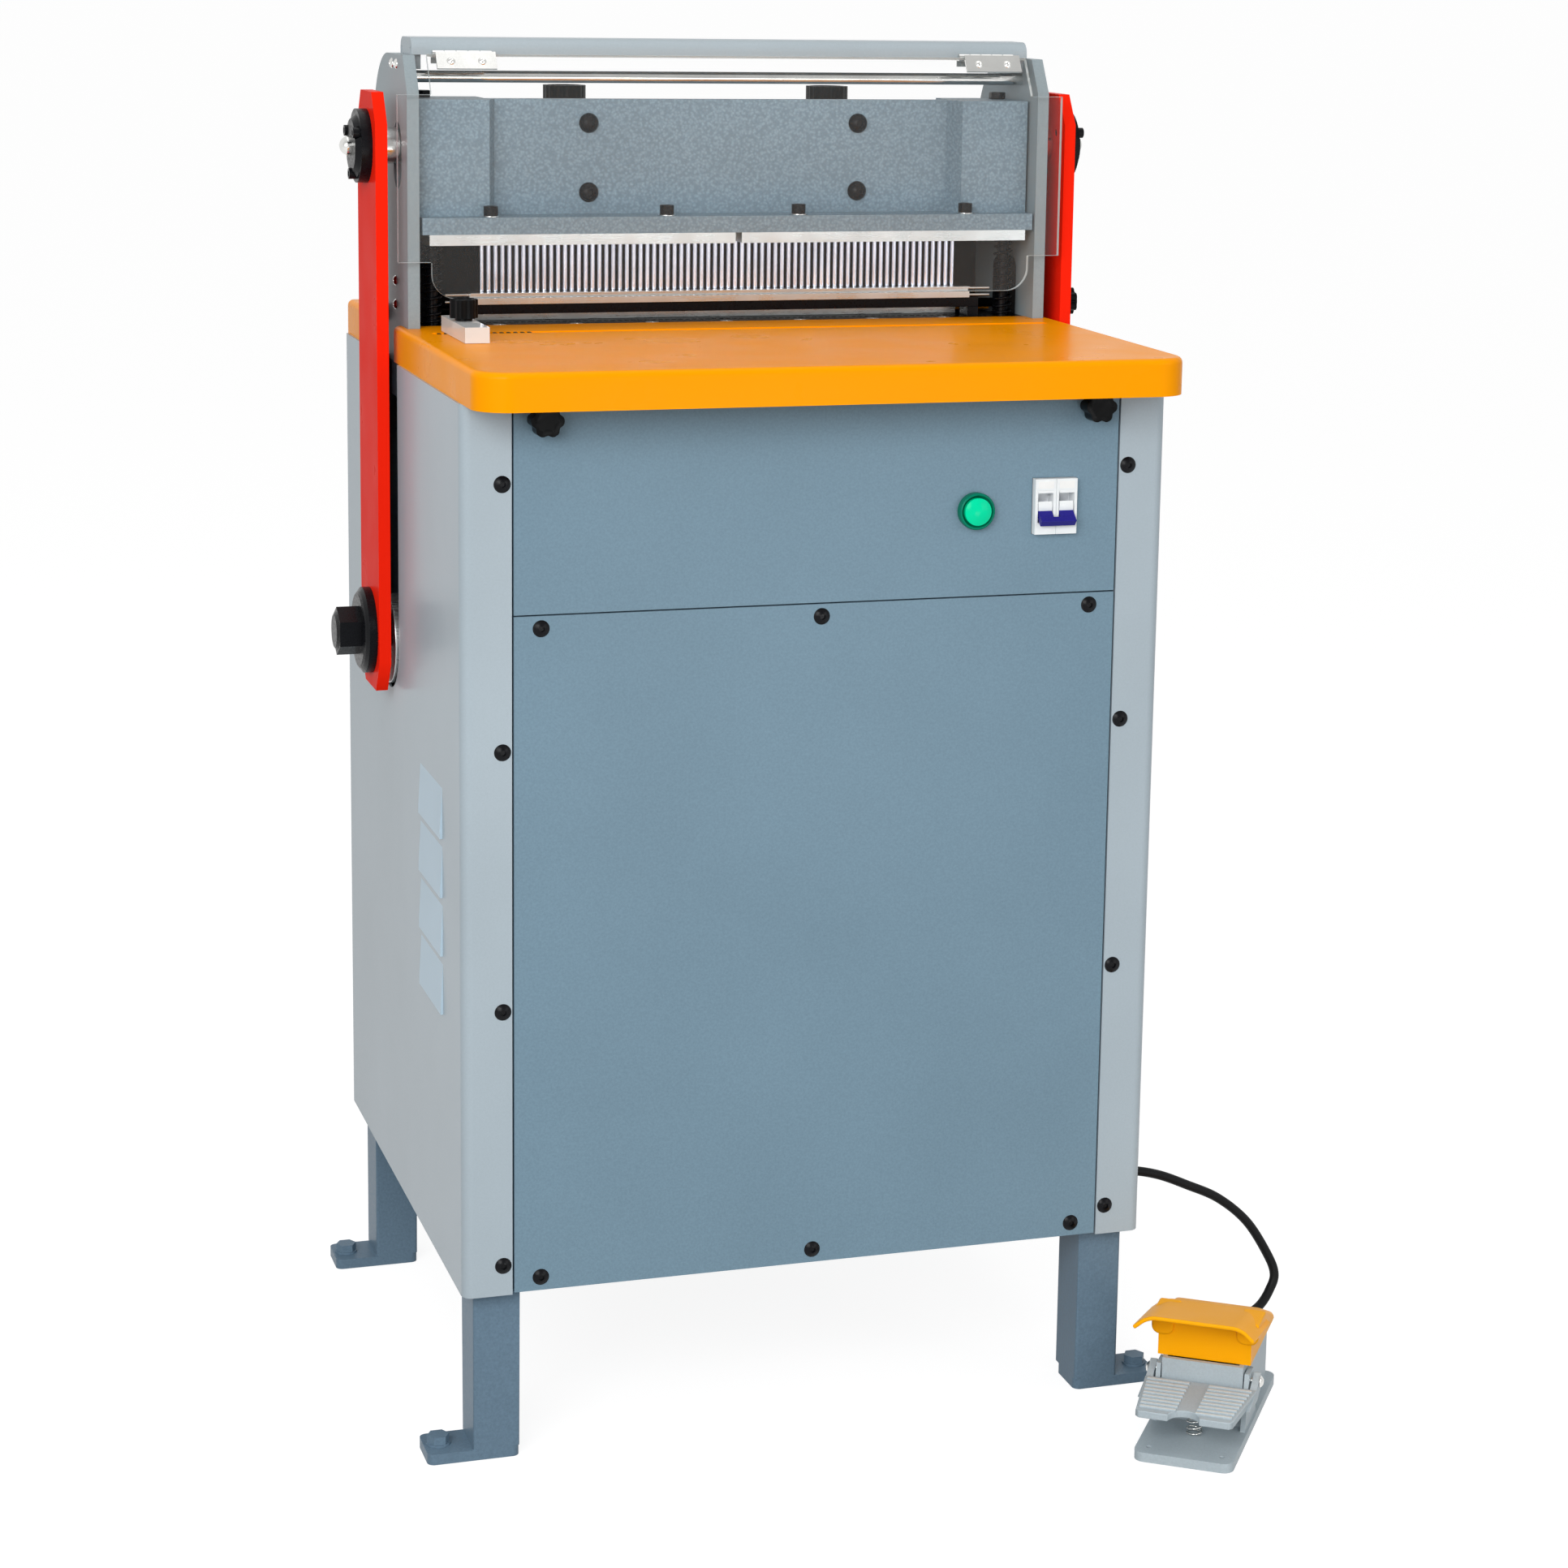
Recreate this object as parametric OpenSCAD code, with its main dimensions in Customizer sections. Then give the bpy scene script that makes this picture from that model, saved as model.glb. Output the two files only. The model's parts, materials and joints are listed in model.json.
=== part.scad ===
// Electric paper punching machine with a foot switch
// Front faces -Y, floor at Z = 0, all sizes in millimetres

/* [Cabinet] */
// Width over the two side panels
case_w = 580; // [560:2:620]
// Depth from the front panels to the rear panel
case_d = 510; // [500:2:540]
// Height of the lower edge above the floor
case_bottom = 144; // [120:2:160]
// Height of the upper edge, under the table skirt
case_top = 860; // [850:2:900]
// Height of the seam between the two front panels
seam_z = 695; // [680:1:710]
// Sheet thickness of the panels
sheet = 2; // [1.5:0.5:2.5]
// Width of the front flange on each side panel
flange_w = 40; // [36:1:46]
// Outer radius of the rounded vertical corners
corner_r = 9; // [6:1:12]

/* [Legs] */
// Leg tube width, across the machine
leg_w = 38; // [34:1:44]
// Leg tube depth, front to back
leg_d = 46; // [42:1:52]
// Foot plate thickness
foot_t = 9; // [6:1:12]
// Length of the bolt tab outside each leg
foot_tab = 37; // [32:1:44]

/* [Table] */
// Table width
table_w = 576; // [568:1:576]
// Overhang in front of the cabinet
table_over = 55; // [40:1:70]
// Skirt height
skirt_h = 30; // [26:1:34]
// Plan radius of the front corners
table_r = 28; // [15:1:40]

/* [Punch] */
// Free width from the last pin to the head plate
row_end = 60.5; // [60.5:0.5:120]
// Pin pitch
pin_pitch = 6; // [5.6:0.1:6]
// Pin diameter
pin_d = 4; // [3:0.5:4]
// Radial clearance of a pin in the die and the guide
pin_gap = 0.1; // [0.05:0.01:0.15]
// Crank throw, half of the stroke
throw = 8; // [6:0.5:8.5]
// Height of the paper throat
throat_h = 8; // [6:0.5:9]

/* [Links] */
// Link bar thickness
link_t = 10; // [8:0.5:11]
// Link bar width
link_w = 84; // [74:1:86]
// Pivot pin and crank bolt diameter
pivot_d = 30; // [24:1:32]
// Running clearance on the radius
run_gap = 0.05; // [0.03:0.01:0.1]

/* [Shield] */
// Clear sheet thickness
shield_t = 5; // [4:0.5:5]
// Side overlap of the wide part beyond the cabinet centre line
shield_half = 290; // [284:1:292]

/* [Foot switch] */
// Base plate width
pedal_w = 82; // [76:1:90]
// Base plate length
pedal_l = 198; // [190:1:210]
// Turn of the foot switch on the floor, degrees
pedal_turn = -35; // [-45:1:-25]
// Cord diameter
cord_d = 8; // [6:0.5:9]

/* [Hidden] */
$fn = 48;

eps = 0.01;
half_w = case_w / 2;
// Depths below are measured from the cabinet's front face, which stands at front_y
front_y = -(case_d + 3 - table_over) / 2;
leg_in = 14;
leg_x = half_w - 11;
rail_h = 30;
foot_d = 42;
bolt_x = leg_x + 25;
rear_flange = 26;
table_z = case_top + skirt_h;
press = 300;
crank_z = table_z - 268;
hub_z = crank_z + 408 + throw;
stroke = 2 * throw;

// Head
plate_in = half_w - 19.5;
plate_t = 10;
plate_out = plate_in + plate_t;
plate_front = 257;
plate_back = 408;
plate_step = press + 42;
shoulder_r = 66;
nose_d = 18;
nose_h = 29;
plate_top = table_z + 223;
rod_z = table_z + 205;
hinge_y = 281;
hinge_z = table_z + 224;
cover_y = press + 12;
cover_d = 50;
bracket_y = press + 12;
head_screw_at = [[bracket_y, table_z + 15], [bracket_y, table_z + 35], [cover_y - 10, plate_top - 8],
    [cover_y + 10, plate_top - 8]];

// Die and press stack, from the bed upwards
bed_z = table_z - 0.5;
die_low = table_z - 12.5;
guide_low = bed_z + throat_h;
guide_top = guide_low + 8.5;
bar_low = table_z + 68;
beam_low = bar_low + 9;
beam_top = beam_low + 110;
pin_count = 2 * floor((plate_in - row_end) / pin_pitch) + 1;
row_half = (pin_count - 1) / 2 * pin_pitch;
die_half = row_half + 12;
bed_front = press - 24;
bed_lip = press - 11;
bed_back = press + 58;
bed_screw_x = [for (i = [-3:3]) 66 * i];
bed_screw_y = (bed_front + bed_lip) / 2;
bed_head = 11.6;
bed_head_h = 3;
die_back = press + 36;
guide_front = press - 10;
guide_back = press + 12;
// The guide columns stand inside the return springs
col_d = 10;
spring_x = plate_in - 16.5;
spring_y = press - 10;
margin_y = press + 50;
margin_z = table_z + 5;

// Press beam
beam_edge = plate_in - 2.5;
beam_back = press + 100;
beam_face = press - 6;
beam_wall = 12;
beam_end = press - 25;
end_back = press + 40;
end_in = plate_in - 62.5;
ledge_t = 14;
ledge_screw_x = [-plate_in + 61.5, -58, 58, plate_in - 61.5];
ledge_screw_y = press - 34;
button_x = 119;
beam_knob_y = press + 84;
cell = (beam_edge - 16) / 3;
rib_t = 12;
pivot_in = plate_in - 53.5;

// Links
link_in = half_w + 6.5;
link_out = link_in + link_t;
slot_w = link_w;

// Fasteners
flange_screw_x = half_w - 29.5;
flange_screw_z = [case_bottom + 25, case_bottom + 235, case_bottom + 444, case_top - 62];
panel_screw_x = half_w - 60;
panel_screw_z = [case_bottom + 12.6, seam_z - 10.5];
knob_x = half_w - 64;
knob_z = case_top - 12;

// Controls
lamp_z = seam_z + 70;
breaker_x = half_w - flange_w - 56;
breaker_z = seam_z + 72;
lamp_x = breaker_x - 67;

// Drive
wheel_x = -105;
wheel_r = 150;
motor_y = 190;
motor_z = case_bottom + 137;
pulley_r = 42;

// Foot switch
pedal_x = 325;
pedal_y = -72;
treadle_v = -14;
treadle_z = 46;

// Cord route from the cabinet gland to the foot switch gland
gland_y = 62;
gland_z = 172;
function pedal_point(u, v, z) = [pedal_x + u * cos(pedal_turn) - v * sin(pedal_turn),
    pedal_y + u * sin(pedal_turn) + v * cos(pedal_turn), z];
cord_points = [[half_w + 12, gland_y, gland_z], [half_w + 23, gland_y, gland_z], [335, 62, 166], [360, 62,
    155],
    [390, 62, 140], [418, 62, 116], [438, 60, 85], [444, 56, 67], [438, 52, 54], [427, 46, 44], [411, 39, 38],
    [399, 31, 35], pedal_point(0, 112, 34), pedal_point(0, 98, 34)];

// Colours
frame_grey = "#76889a";
panel_grey = "#c3c8cf";
front_grey = "#8397a8";
cast_grey = "#7d8d99";
orange = "#f08a1c";
red = "#f0301a";
black = "#1e1e20";
chrome = "#d8d8d6";
steel = "#b9b6a8";

// Placing helpers, with depth counted from the cabinet front
module slab(x0, x1, y0, y1, z0, z1) translate([x0, front_y + y0, z0]) cube([x1 - x0, y1 - y0, z1 - z0]);
module rod_x(x0, x1, y, z, d) translate([x0, front_y + y, z]) rotate([0, 90, 0]) cylinder(d = d, h = x1 - x0);
module rod_y(x, y0, y1, z, d) translate([x, front_y + y0, z]) rotate([-90, 0, 0]) cylinder(d = d,
    h = y1 - y0);
module rod_z(x, y, z0, z1, d) translate([x, front_y + y, z0]) cylinder(d = d, h = z1 - z0);
module at(x, y, z) translate([x, front_y + y, z]) children();
// Side profile (depth, height) drawn out across the machine
module side_profile(x0, x1) translate([x0, front_y, 0]) rotate([90, 0, 90]) linear_extrude(x1 - x0)
    children();
// Front profile (width, height) drawn out in depth
module front_profile(y0, y1) translate([0, front_y + y1, 0]) rotate([90, 0, 0]) linear_extrude(y1 - y0)
    children();
module both() { children(); mirror([1, 0, 0]) children(); }
module round_rect(x0, y0, x1, y1, r) {
    translate([x0 + r, y0]) square([x1 - x0 - 2 * r, y1 - y0]);
    translate([x0, y0 + r]) square([x1 - x0, y1 - y0 - 2 * r]);
    for (x = [x0 + r, x1 - r], y = [y0 + r, y1 - r]) translate([x, y]) circle(r);
}
module obround(y, z0, z1, d) {
    for (z = [z0, z1]) translate([y, z]) circle(d = d);
    translate([y - d / 2, z0]) square([d, z1 - z0]);
}

// Fastener shapes, head towards +Z with its seat at Z = 0
module dome_screw(d, h, shank, len) {
    ball = (d * d / 4 + h * h) / (2 * h);
    difference() {
        union() {
            intersection() {
                translate([0, 0, h - ball]) sphere(ball);
                cylinder(d = d, h = h);
            }
            translate([0, 0, -len]) cylinder(d = shank, h = len + eps);
        }
        translate([0, 0, h - d * 0.12]) cylinder(d = d * 0.36, h = h, $fn = 6);
    }
}
module cap_screw(d, len) difference() {
    union() {
        cylinder(d = d * 1.5, h = d);
        translate([0, 0, -len]) cylinder(d = d, h = len + eps);
    }
    translate([0, 0, d * 0.45]) cylinder(d = d * 0.95, h = d, $fn = 6);
}
module hex_bolt(af, h, d, len) {
    cylinder(d = af / cos(30), h = h, $fn = 6);
    translate([0, 0, -len]) cylinder(d = d, h = len + eps);
}
module lobed_knob(d, h, lobes) {
    cylinder(d = d * 0.72, h = h);
    for (i = [0:lobes - 1]) rotate(i * 360 / lobes) translate([d * 0.34, 0, 0]) cylinder(d = d * 0.32,
        h = h - 1);
}

// Tube swept along points, closed at both ends
function unit(v) = v / norm(v);
function tangents(p) = [for (i = [0:len(p) - 1])
    unit(p[min(i + 1, len(p) - 1)] - p[max(i - 1, 0)])];
function carried(t, n0) = [for (i = 0, n = unit(n0 - (n0 * t[0]) * t[0]); i < len(t);
    i = i + 1, n = i < len(t) ? unit(n - (n * t[i]) * t[i]) : n) n];
module tube(p, d, sides, n0) {
    t = tangents(p);
    n = carried(t, n0);
    ring = [for (i = [0:len(p) - 1], k = [0:sides - 1])
        let (a = 360 * k / sides) p[i] + d / 2 * (cos(a) * n[i] + sin(a) * cross(t[i], n[i]))];
    m = len(p) - 1;
    faces = concat([[for (k = [0:sides - 1]) k]], [[for (k = [sides - 1:-1:0]) m * sides + k]],
        [for (i = [0:m - 1], k = [0:sides - 1], h = [0, 1]) let (j = (k + 1) % sides, a = i * sides,
            b = a + sides)
            h == 0 ? [a + k, b + k, b + j] : [a + k, b + j, a + j]]);
    polyhedron(ring, faces);
}
// Coil spring: close end turns, open middle, straight ends one wire long
function coil_z(t, n, h, w) = let (e = w + 0.9, p = (h - 2 * e - w) / (n - 2))
    w / 2 + (t < 1 ? e * t : t > n - 1 ? e + p * (n - 2) + e * (t - n + 1) : e + p * (t - 1));
function coil_points(n, h, od, w) = let (r = (od - w) / 2, s = 8 * n,
    turn = [for (i = [0:s]) let (a = 360 * i / 8) [r * cos(a), r * sin(a), coil_z(i / 8, n, h, w)]])
    concat([[r, -w, w / 2]], turn, [[r, w, h - w / 2]]);
function coil_gap(p, w) = min([for (i = [0:len(p) - 8], j = [i + 6:1:len(p) - 1]) norm(p[i] - p[j])]) - w;
module coil(n, h, od, w) tube(coil_points(n, h, od, w), w, 6, [0, 0, 1]);
// Smooth curve through chosen points
function curve(p, steps) = [for (i = [0:len(p) - 2], k = [0:(i == len(p) - 2 ? steps : steps - 1)])
    let (t = k / steps, a = p[max(i - 1, 0)], b = p[i], c = p[i + 1], d = p[min(i + 2, len(p) - 1)])
    0.5 * (2 * b + (c - a) * t + (2 * a - 5 * b + 4 * c - d) * t * t + (3 * b - a - 3 * c + d) * t * t * t)];

// Cabinet
module base_frame() color(frame_grey) difference() {
    rows = [leg_in, case_d - leg_in - leg_d];
    inner = leg_x - leg_w;
    union() {
        both() for (y = rows) {
            slab(inner, leg_x, y, y + leg_d, foot_t - eps, case_top - 4);
            at(0, 0, 0) linear_extrude(foot_t) round_rect(inner, y, leg_x + foot_tab, y + foot_d, 6);
        }
        for (z = [case_bottom + 6, case_top - 4 - rail_h]) {
            for (y = [leg_in, case_d - leg_in - 38]) slab(-inner - eps, inner + eps, y, y + 38, z,
                z + rail_h);
            both() slab(inner, leg_x, leg_in + leg_d - eps, case_d - leg_in - leg_d + eps, z, z + rail_h);
        }
        slab(-inner - eps, inner + eps, leg_in, leg_in + rail_h, seam_z - 25, seam_z + 5);
        both() slab(inner, leg_x, leg_in + leg_d - eps, case_d - leg_in - leg_d + eps, crank_z - 66,
            crank_z - 36);
    }
    both() for (y = rows) {
        slab(inner + 3, leg_x - 3, y + 3, y + leg_d - 3, foot_t + 2, case_top);
        rod_z(bolt_x, y + foot_d / 2, -1, foot_t + 1, 11);
    }
    both() for (z = flange_screw_z) rod_y(flange_screw_x, leg_in - 1, leg_in + 12, z, 5.4);
    for (x = [-panel_screw_x, 0, panel_screw_x], z = panel_screw_z) rod_y(x, leg_in - 1, leg_in + 12, z, 5.4);
    for (x = [-panel_screw_x, panel_screw_x], z = [case_bottom + 21, case_top - 19])
        rod_y(x, case_d - leg_in - 12, case_d - leg_in + 1, z, 5.4);
    both() rod_y(knob_x, leg_in - 1, leg_in + 16, knob_z, 8 + 2 * run_gap);
}
// Plate on the lower side rails that carries the motor
module motor_plate() color(frame_grey)
    slab(-leg_x + 3, leg_x - 3, leg_in + leg_d + 0.5, case_d - leg_in - leg_d - 0.5, case_bottom + 36,
        case_bottom + 42);
module floor_bolts() color(chrome) both() for (y = [leg_in, case_d - leg_in - leg_d])
    at(bolt_x, y + foot_d / 2, foot_t) {
        cylinder(d = 20, h = 1.6);
        translate([0, 0, 1.6 - eps]) hex_bolt(16, 6.5, 10, foot_t + 1.1);
    }

module side_plan() {
    h = half_w;
    ring_r = corner_r - sheet;
    translate([-h + corner_r, 0]) square([flange_w - corner_r, sheet]);
    translate([-h, corner_r]) square([sheet, case_d - 2 * corner_r]);
    translate([-h + corner_r, case_d - sheet]) square([rear_flange - corner_r, sheet]);
    translate([-h + flange_w - sheet, 0]) square([sheet, leg_in]);
    for (y = [corner_r, case_d - corner_r]) intersection() {
        translate([-h + corner_r, y]) difference() { circle(corner_r); circle(ring_r); }
        translate([-h, y < case_d / 2 ? 0 : case_d - corner_r]) square(corner_r);
    }
}
// One pressed louvre: a sloping hood over a slot, open downwards
louvre_len = 90;
louvre_h = 46;
louvre_out = 2;
louvre_pitch = 48.5;
louvre_y = 76;
module louvre_hood(z) {
    x = -half_w;
    front_profile(louvre_y, louvre_y + louvre_len) polygon([[x + eps, z + louvre_h - 4], [x - louvre_out,
        z + 7], [x - louvre_out, z],
        [x - louvre_out + 1.5, z], [x - louvre_out + 1.5, z + 6.4], [x + eps, z + louvre_h - 8]]);
    for (y = [louvre_y, louvre_y + louvre_len - 1.5]) front_profile(y, y + 1.5) polygon([[x + eps,
        z + louvre_h - 4],
        [x - louvre_out, z + 7], [x - louvre_out, z], [x + eps, z]]);
}
module side_panel() {
    x = -half_w;
    louvre_z = case_bottom + 212.5;
    difference() {
        union() {
            at(0, 0, case_bottom) linear_extrude(case_top - case_bottom) side_plan();
            for (z = [case_bottom, case_top - sheet])
                slab(x + sheet - eps, -leg_x, leg_in, case_d - leg_in, z, z + sheet);
        }
        rod_x(x - 1, -leg_x + 1, press, crank_z, slot_w);
        slab(x - 1, -leg_x + 1, press - slot_w / 2, press + slot_w / 2, crank_z, case_top + 1);
        // The upper lip stands back from the head plate
        slab(-plate_out - 0.5, -leg_x + 1, plate_front - 1, plate_back + 1, case_top - sheet - 1,
            case_top + 1);
        for (i = [0:3]) slab(x - 1, x + sheet + 1, louvre_y + 3, louvre_y + louvre_len - 3,
            louvre_z + i * louvre_pitch + 2, louvre_z + i * louvre_pitch + 26);
        for (z = flange_screw_z) rod_y(-flange_screw_x, -1, sheet + 1, z, 5.4);
    }
    for (i = [0:3]) louvre_hood(louvre_z + i * louvre_pitch);
}
module left_side_panel() color(panel_grey) side_panel();
module right_side_panel() color(panel_grey) difference() {
    mirror([1, 0, 0]) side_panel();
    rod_x(half_w - sheet - 1, half_w + 1, gland_y, gland_z, 16.4);
}

// Folded sheet tray whose edges stand on the frame
module tray_panel(x1, z0, z1, face, depth) {
    back = face + (depth > 0 ? 0 : -sheet);
    slab(-x1, x1, back, back + sheet, z0, z1);
    y0 = min(face, face + depth);
    y1 = max(face, face + depth);
    both() slab(x1 - sheet, x1, y0, y1, z0, z1);
    for (z = [z0, z1 - sheet]) slab(-x1, x1, y0, y1, z, z + sheet);
}
front_half = half_w - flange_w - 1;
module control_panel() color(front_grey) difference() {
    tray_panel(front_half, seam_z + 0.6, case_top - 1, 0, leg_in);
    slab(breaker_x - 18.3, breaker_x + 18.3, -1, sheet + 1, breaker_z - 22.8, breaker_z + 22.8);
    rod_y(lamp_x, -1, sheet + 1, lamp_z, 22.5);
    both() rod_y(knob_x, -1, sheet + 1, knob_z, 8.6);
}
module lower_front_panel() color(front_grey) difference() {
    tray_panel(front_half, case_bottom + 1.5, seam_z - 0.6, 0, leg_in);
    for (x = [-panel_screw_x, 0, panel_screw_x], z = panel_screw_z) rod_y(x, -1, sheet + 1, z, 5.4);
}
module rear_panel() color(panel_grey) difference() {
    tray_panel(half_w - rear_flange - 1, case_bottom + 1.5, case_top - 1, case_d, -leg_in);
    for (x = [-panel_screw_x, panel_screw_x], z = [case_bottom + 21, case_top - 19])
        rod_y(x, case_d - sheet - 1, case_d + 1, z, 5.4);
    for (x = [-120:24:120]) front_profile(case_d - sheet - 1, case_d + 1) obround(x, case_bottom + 80,
        case_bottom + 190, 7);
}
module panel_screws() color(black) {
    both() for (z = flange_screw_z) at(flange_screw_x, 0, z) rotate([90, 0, 0]) dome_screw(13, 3, 5, 24);
    for (x = [-panel_screw_x, 0, panel_screw_x], z = panel_screw_z) at(x, 0, z) rotate([90, 0, 0])
        dome_screw(13, 3, 5, 24);
    for (x = [-panel_screw_x, panel_screw_x], z = [case_bottom + 21, case_top - 19])
        at(x, case_d, z) rotate([-90, 0, 0]) dome_screw(13, 3, 5, 24);
}

// Table and rear cover
groove_y = 220;
groove_half = table_w / 2 - 20;
deck_wall = 2.5;
table_back = press - 18;
rear_cover_front = press + 66;
rear_cover_r = 20;
module deck_plan(x1, y0, y1, r) {
    translate([-x1, y0 + r]) square([2 * x1, y1 - y0 - r]);
    translate([-x1 + r, y0]) square([2 * (x1 - r), r + eps]);
    for (x = [-x1 + r, x1 - r]) translate([x, y0 + r]) circle(r);
}
module table() color(orange) {
    past = table_back + 8;
    mouth = bed_front - 1;
    difference() {
        at(0, 0, case_top) linear_extrude(skirt_h) deck_plan(table_w / 2, -table_over, table_back, table_r);
        at(0, 0, case_top - 1) linear_extrude(skirt_h - 2)
            deck_plan(table_w / 2 - deck_wall, -table_over + deck_wall, past, table_r - deck_wall);
        both() slab(plate_in - 0.8, plate_out + 0.8, plate_front - 1.2, past, case_top - 1, table_z + 1);
        slab(-plate_in, plate_in, mouth, past, case_top - 1, table_z + 1);
        slab(-groove_half, groove_half, groove_y - 3, groove_y + 3, table_z - 1.5, table_z + 1);
    }
    slab(-plate_in + 6, plate_in - 6, mouth - 2, mouth, table_z - 14, table_z - 3 + eps);
}
module rear_top_cover() color(orange) difference() {
    past = rear_cover_front - 16;
    translate([0, front_y, case_top]) mirror([0, 1, 0]) linear_extrude(skirt_h)
        deck_plan(table_w / 2, -case_d - 1, -rear_cover_front, rear_cover_r);
    translate([0, front_y, case_top - 1]) mirror([0, 1, 0]) linear_extrude(skirt_h - 2)
        deck_plan(table_w / 2 - deck_wall, -case_d - 1 + deck_wall, -past, rear_cover_r - deck_wall);
    both() slab(plate_in - 0.8, plate_out + 0.8, past, plate_back + 1.2, case_top - 1, table_z + 1);
}

// Head
module head_plates() color(cast_grey) both() difference() {
    side_profile(plate_in, plate_out) difference() {
        union() {
            polygon([[plate_front, case_top - 4], [plate_front, plate_top - nose_h], [plate_front + nose_d,
                plate_top],
                [plate_step, plate_top], [plate_step, plate_top - shoulder_r], [plate_back,
                    plate_top - shoulder_r],
                [plate_back, case_top - 4]]);
            translate([plate_step, plate_top - shoulder_r]) circle(shoulder_r);
        }
        obround(press, hub_z - stroke - 2, hub_z + 2, pivot_d + 5);
        translate([margin_y, margin_z]) circle(d = margin_d + 2 * run_gap);
        for (p = head_screw_at) translate(p) circle(d = 5.4);
    }
    rod_x(plate_in - 1, plate_in + 5, press, rod_z, 10.1);
}
module head_screws() color(chrome) {
    both() for (p = head_screw_at) at(plate_out, p[0], p[1]) rotate([0, 90, 0]) dome_screw(9, 2.5, 5,
        plate_t + 6);
    for (x = bed_screw_x) at(x, bed_screw_y, bed_z - bed_head_h) difference() {
        union() {
            cylinder(d1 = 5, d2 = bed_head, h = bed_head_h);
            translate([0, 0, -8]) cylinder(d = 5, h = 8 + eps);
        }
        translate([0, 0, bed_head_h - 1.4]) cylinder(d = 4.6, h = 3, $fn = 6);
    }
}
cover_r = 10;
cover_wall = 3;
module top_cover() color("#b9c4cc") difference() {
    union() {
        front = cover_y - cover_d / 2;
        side_profile(-plate_in, plate_in) difference() {
            intersection() {
                union() {
                    translate([front, plate_top]) square([cover_d, 4]);
                    translate([front + cover_r, plate_top]) square([cover_d - 2 * cover_r, cover_r + 4]);
                    for (y = [front + cover_r, front + cover_d - cover_r]) translate([y, plate_top + 4])
                        circle(cover_r);
                }
                translate([front, plate_top]) square([cover_d, cover_r + 5]);
            }
            translate([front + cover_wall, plate_top - 1]) square([cover_d - 2 * cover_wall,
                cover_r - cover_wall]);
        }
        // End lugs that the head screws hold
        both() slab(plate_in - 9, plate_in, cover_y - 17, cover_y + 17, plate_top - 12,
            plate_top + cover_r - cover_wall);
    }
    both() for (y = [cover_y - 10, cover_y + 10]) rod_x(plate_in - 10, plate_in + 1, y, plate_top - 8, 5.4);
}
module guard_rod() color(chrome) rod_x(-plate_in - 4.5, plate_in + 4.5, press, rod_z, 10);

// Shield hinges: five knuckles each, odd ones fixed, even ones on the shield
hinge_x = plate_in - 65.5;
knuckle = 10;
module hinge_leaves() color(chrome) both() {
    slab(hinge_x, hinge_x + 5 * knuckle, hinge_y + 3.3, hinge_y + 5, hinge_z - 8, plate_top);
    // Its upper flange is held under the top cover
    slab(hinge_x, hinge_x + 5 * knuckle, hinge_y + 3.3, hinge_y + 19, plate_top - 1.7, plate_top);
    for (i = [0, 2, 4]) {
        rod_x(hinge_x + i * knuckle + 0.3, hinge_x + (i + 1) * knuckle - 0.3, hinge_y, hinge_z, 6);
        slab(hinge_x + i * knuckle + 0.3, hinge_x + (i + 1) * knuckle - 0.3, hinge_y, hinge_y + 3.4,
            hinge_z - 3, hinge_z - 1);
    }
    rod_x(hinge_x + 0.3, hinge_x + 5 * knuckle - 0.3, hinge_y, hinge_z, 2.6);
}
shield_y = 248;
shield_low = table_z + 25;
shield_step = table_z + 55;
shield_bend = table_z + 194;
lean = atan2(18.8, 30);
module shield() color("#dfe8ea", 0.35) {
    back = shield_y + shield_t;
    front_profile(shield_y, back) {
        translate([-plate_in + 8.5, shield_low + 20]) square([2 * plate_in - 17,
            shield_bend - shield_low - 20]);
        translate([-plate_in + 28.5, shield_low]) square([2 * plate_in - 57, 25]);
        for (x = [-plate_in + 28.5, plate_in - 28.5]) translate([x, shield_low + 20]) circle(20);
        translate([-shield_half, shield_step]) square([2 * shield_half, shield_bend - shield_step - 2]);
    }
    side_profile(-plate_in + 8.5, plate_in - 8.5) polygon([[shield_y, shield_bend - 2], [back,
        shield_bend - 2],
        [back, shield_bend - 1], [back + 18, shield_bend + 28], [back + 18 - shield_t * cos(lean),
            shield_bend + 28 + shield_t * sin(lean)],
        [shield_y, shield_bend + 0.6]]);
}
module shield_hinges() color(chrome) both() {
    a = [shield_y + shield_t + 18 - shield_t * cos(lean), shield_bend + 28 + shield_t * sin(lean)];
    along = [sin(lean), cos(lean)];
    out = [-cos(lean), sin(lean)];
    b = a - 15 * along;
    for (i = [1, 3]) difference() {
        union() {
            rod_x(hinge_x + i * knuckle + 0.3, hinge_x + (i + 1) * knuckle - 0.3, hinge_y, hinge_z, 6);
            side_profile(hinge_x + i * knuckle + 0.3, hinge_x + (i + 1) * knuckle - 0.3)
                polygon([a + 0.3 * out, [hinge_y, hinge_z - 1.2], [hinge_y, hinge_z + 1.2],
                    a + 2 * out + along]);
        }
        rod_x(hinge_x, hinge_x + 5 * knuckle, hinge_y, hinge_z, 2.6 + 2 * run_gap);
    }
    side_profile(hinge_x, hinge_x + 5 * knuckle) polygon([b, a, a + 2 * out + along, b + 2 * out]);
    for (x = [hinge_x + 12, hinge_x + 38]) at(x, (a - 8 * along + 2 * out)[0], (a - 8 * along + 2 * out)[1])
        rotate([90 - lean, 0, 0]) dome_screw(7, 2, 3, 1.9);
}

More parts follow.
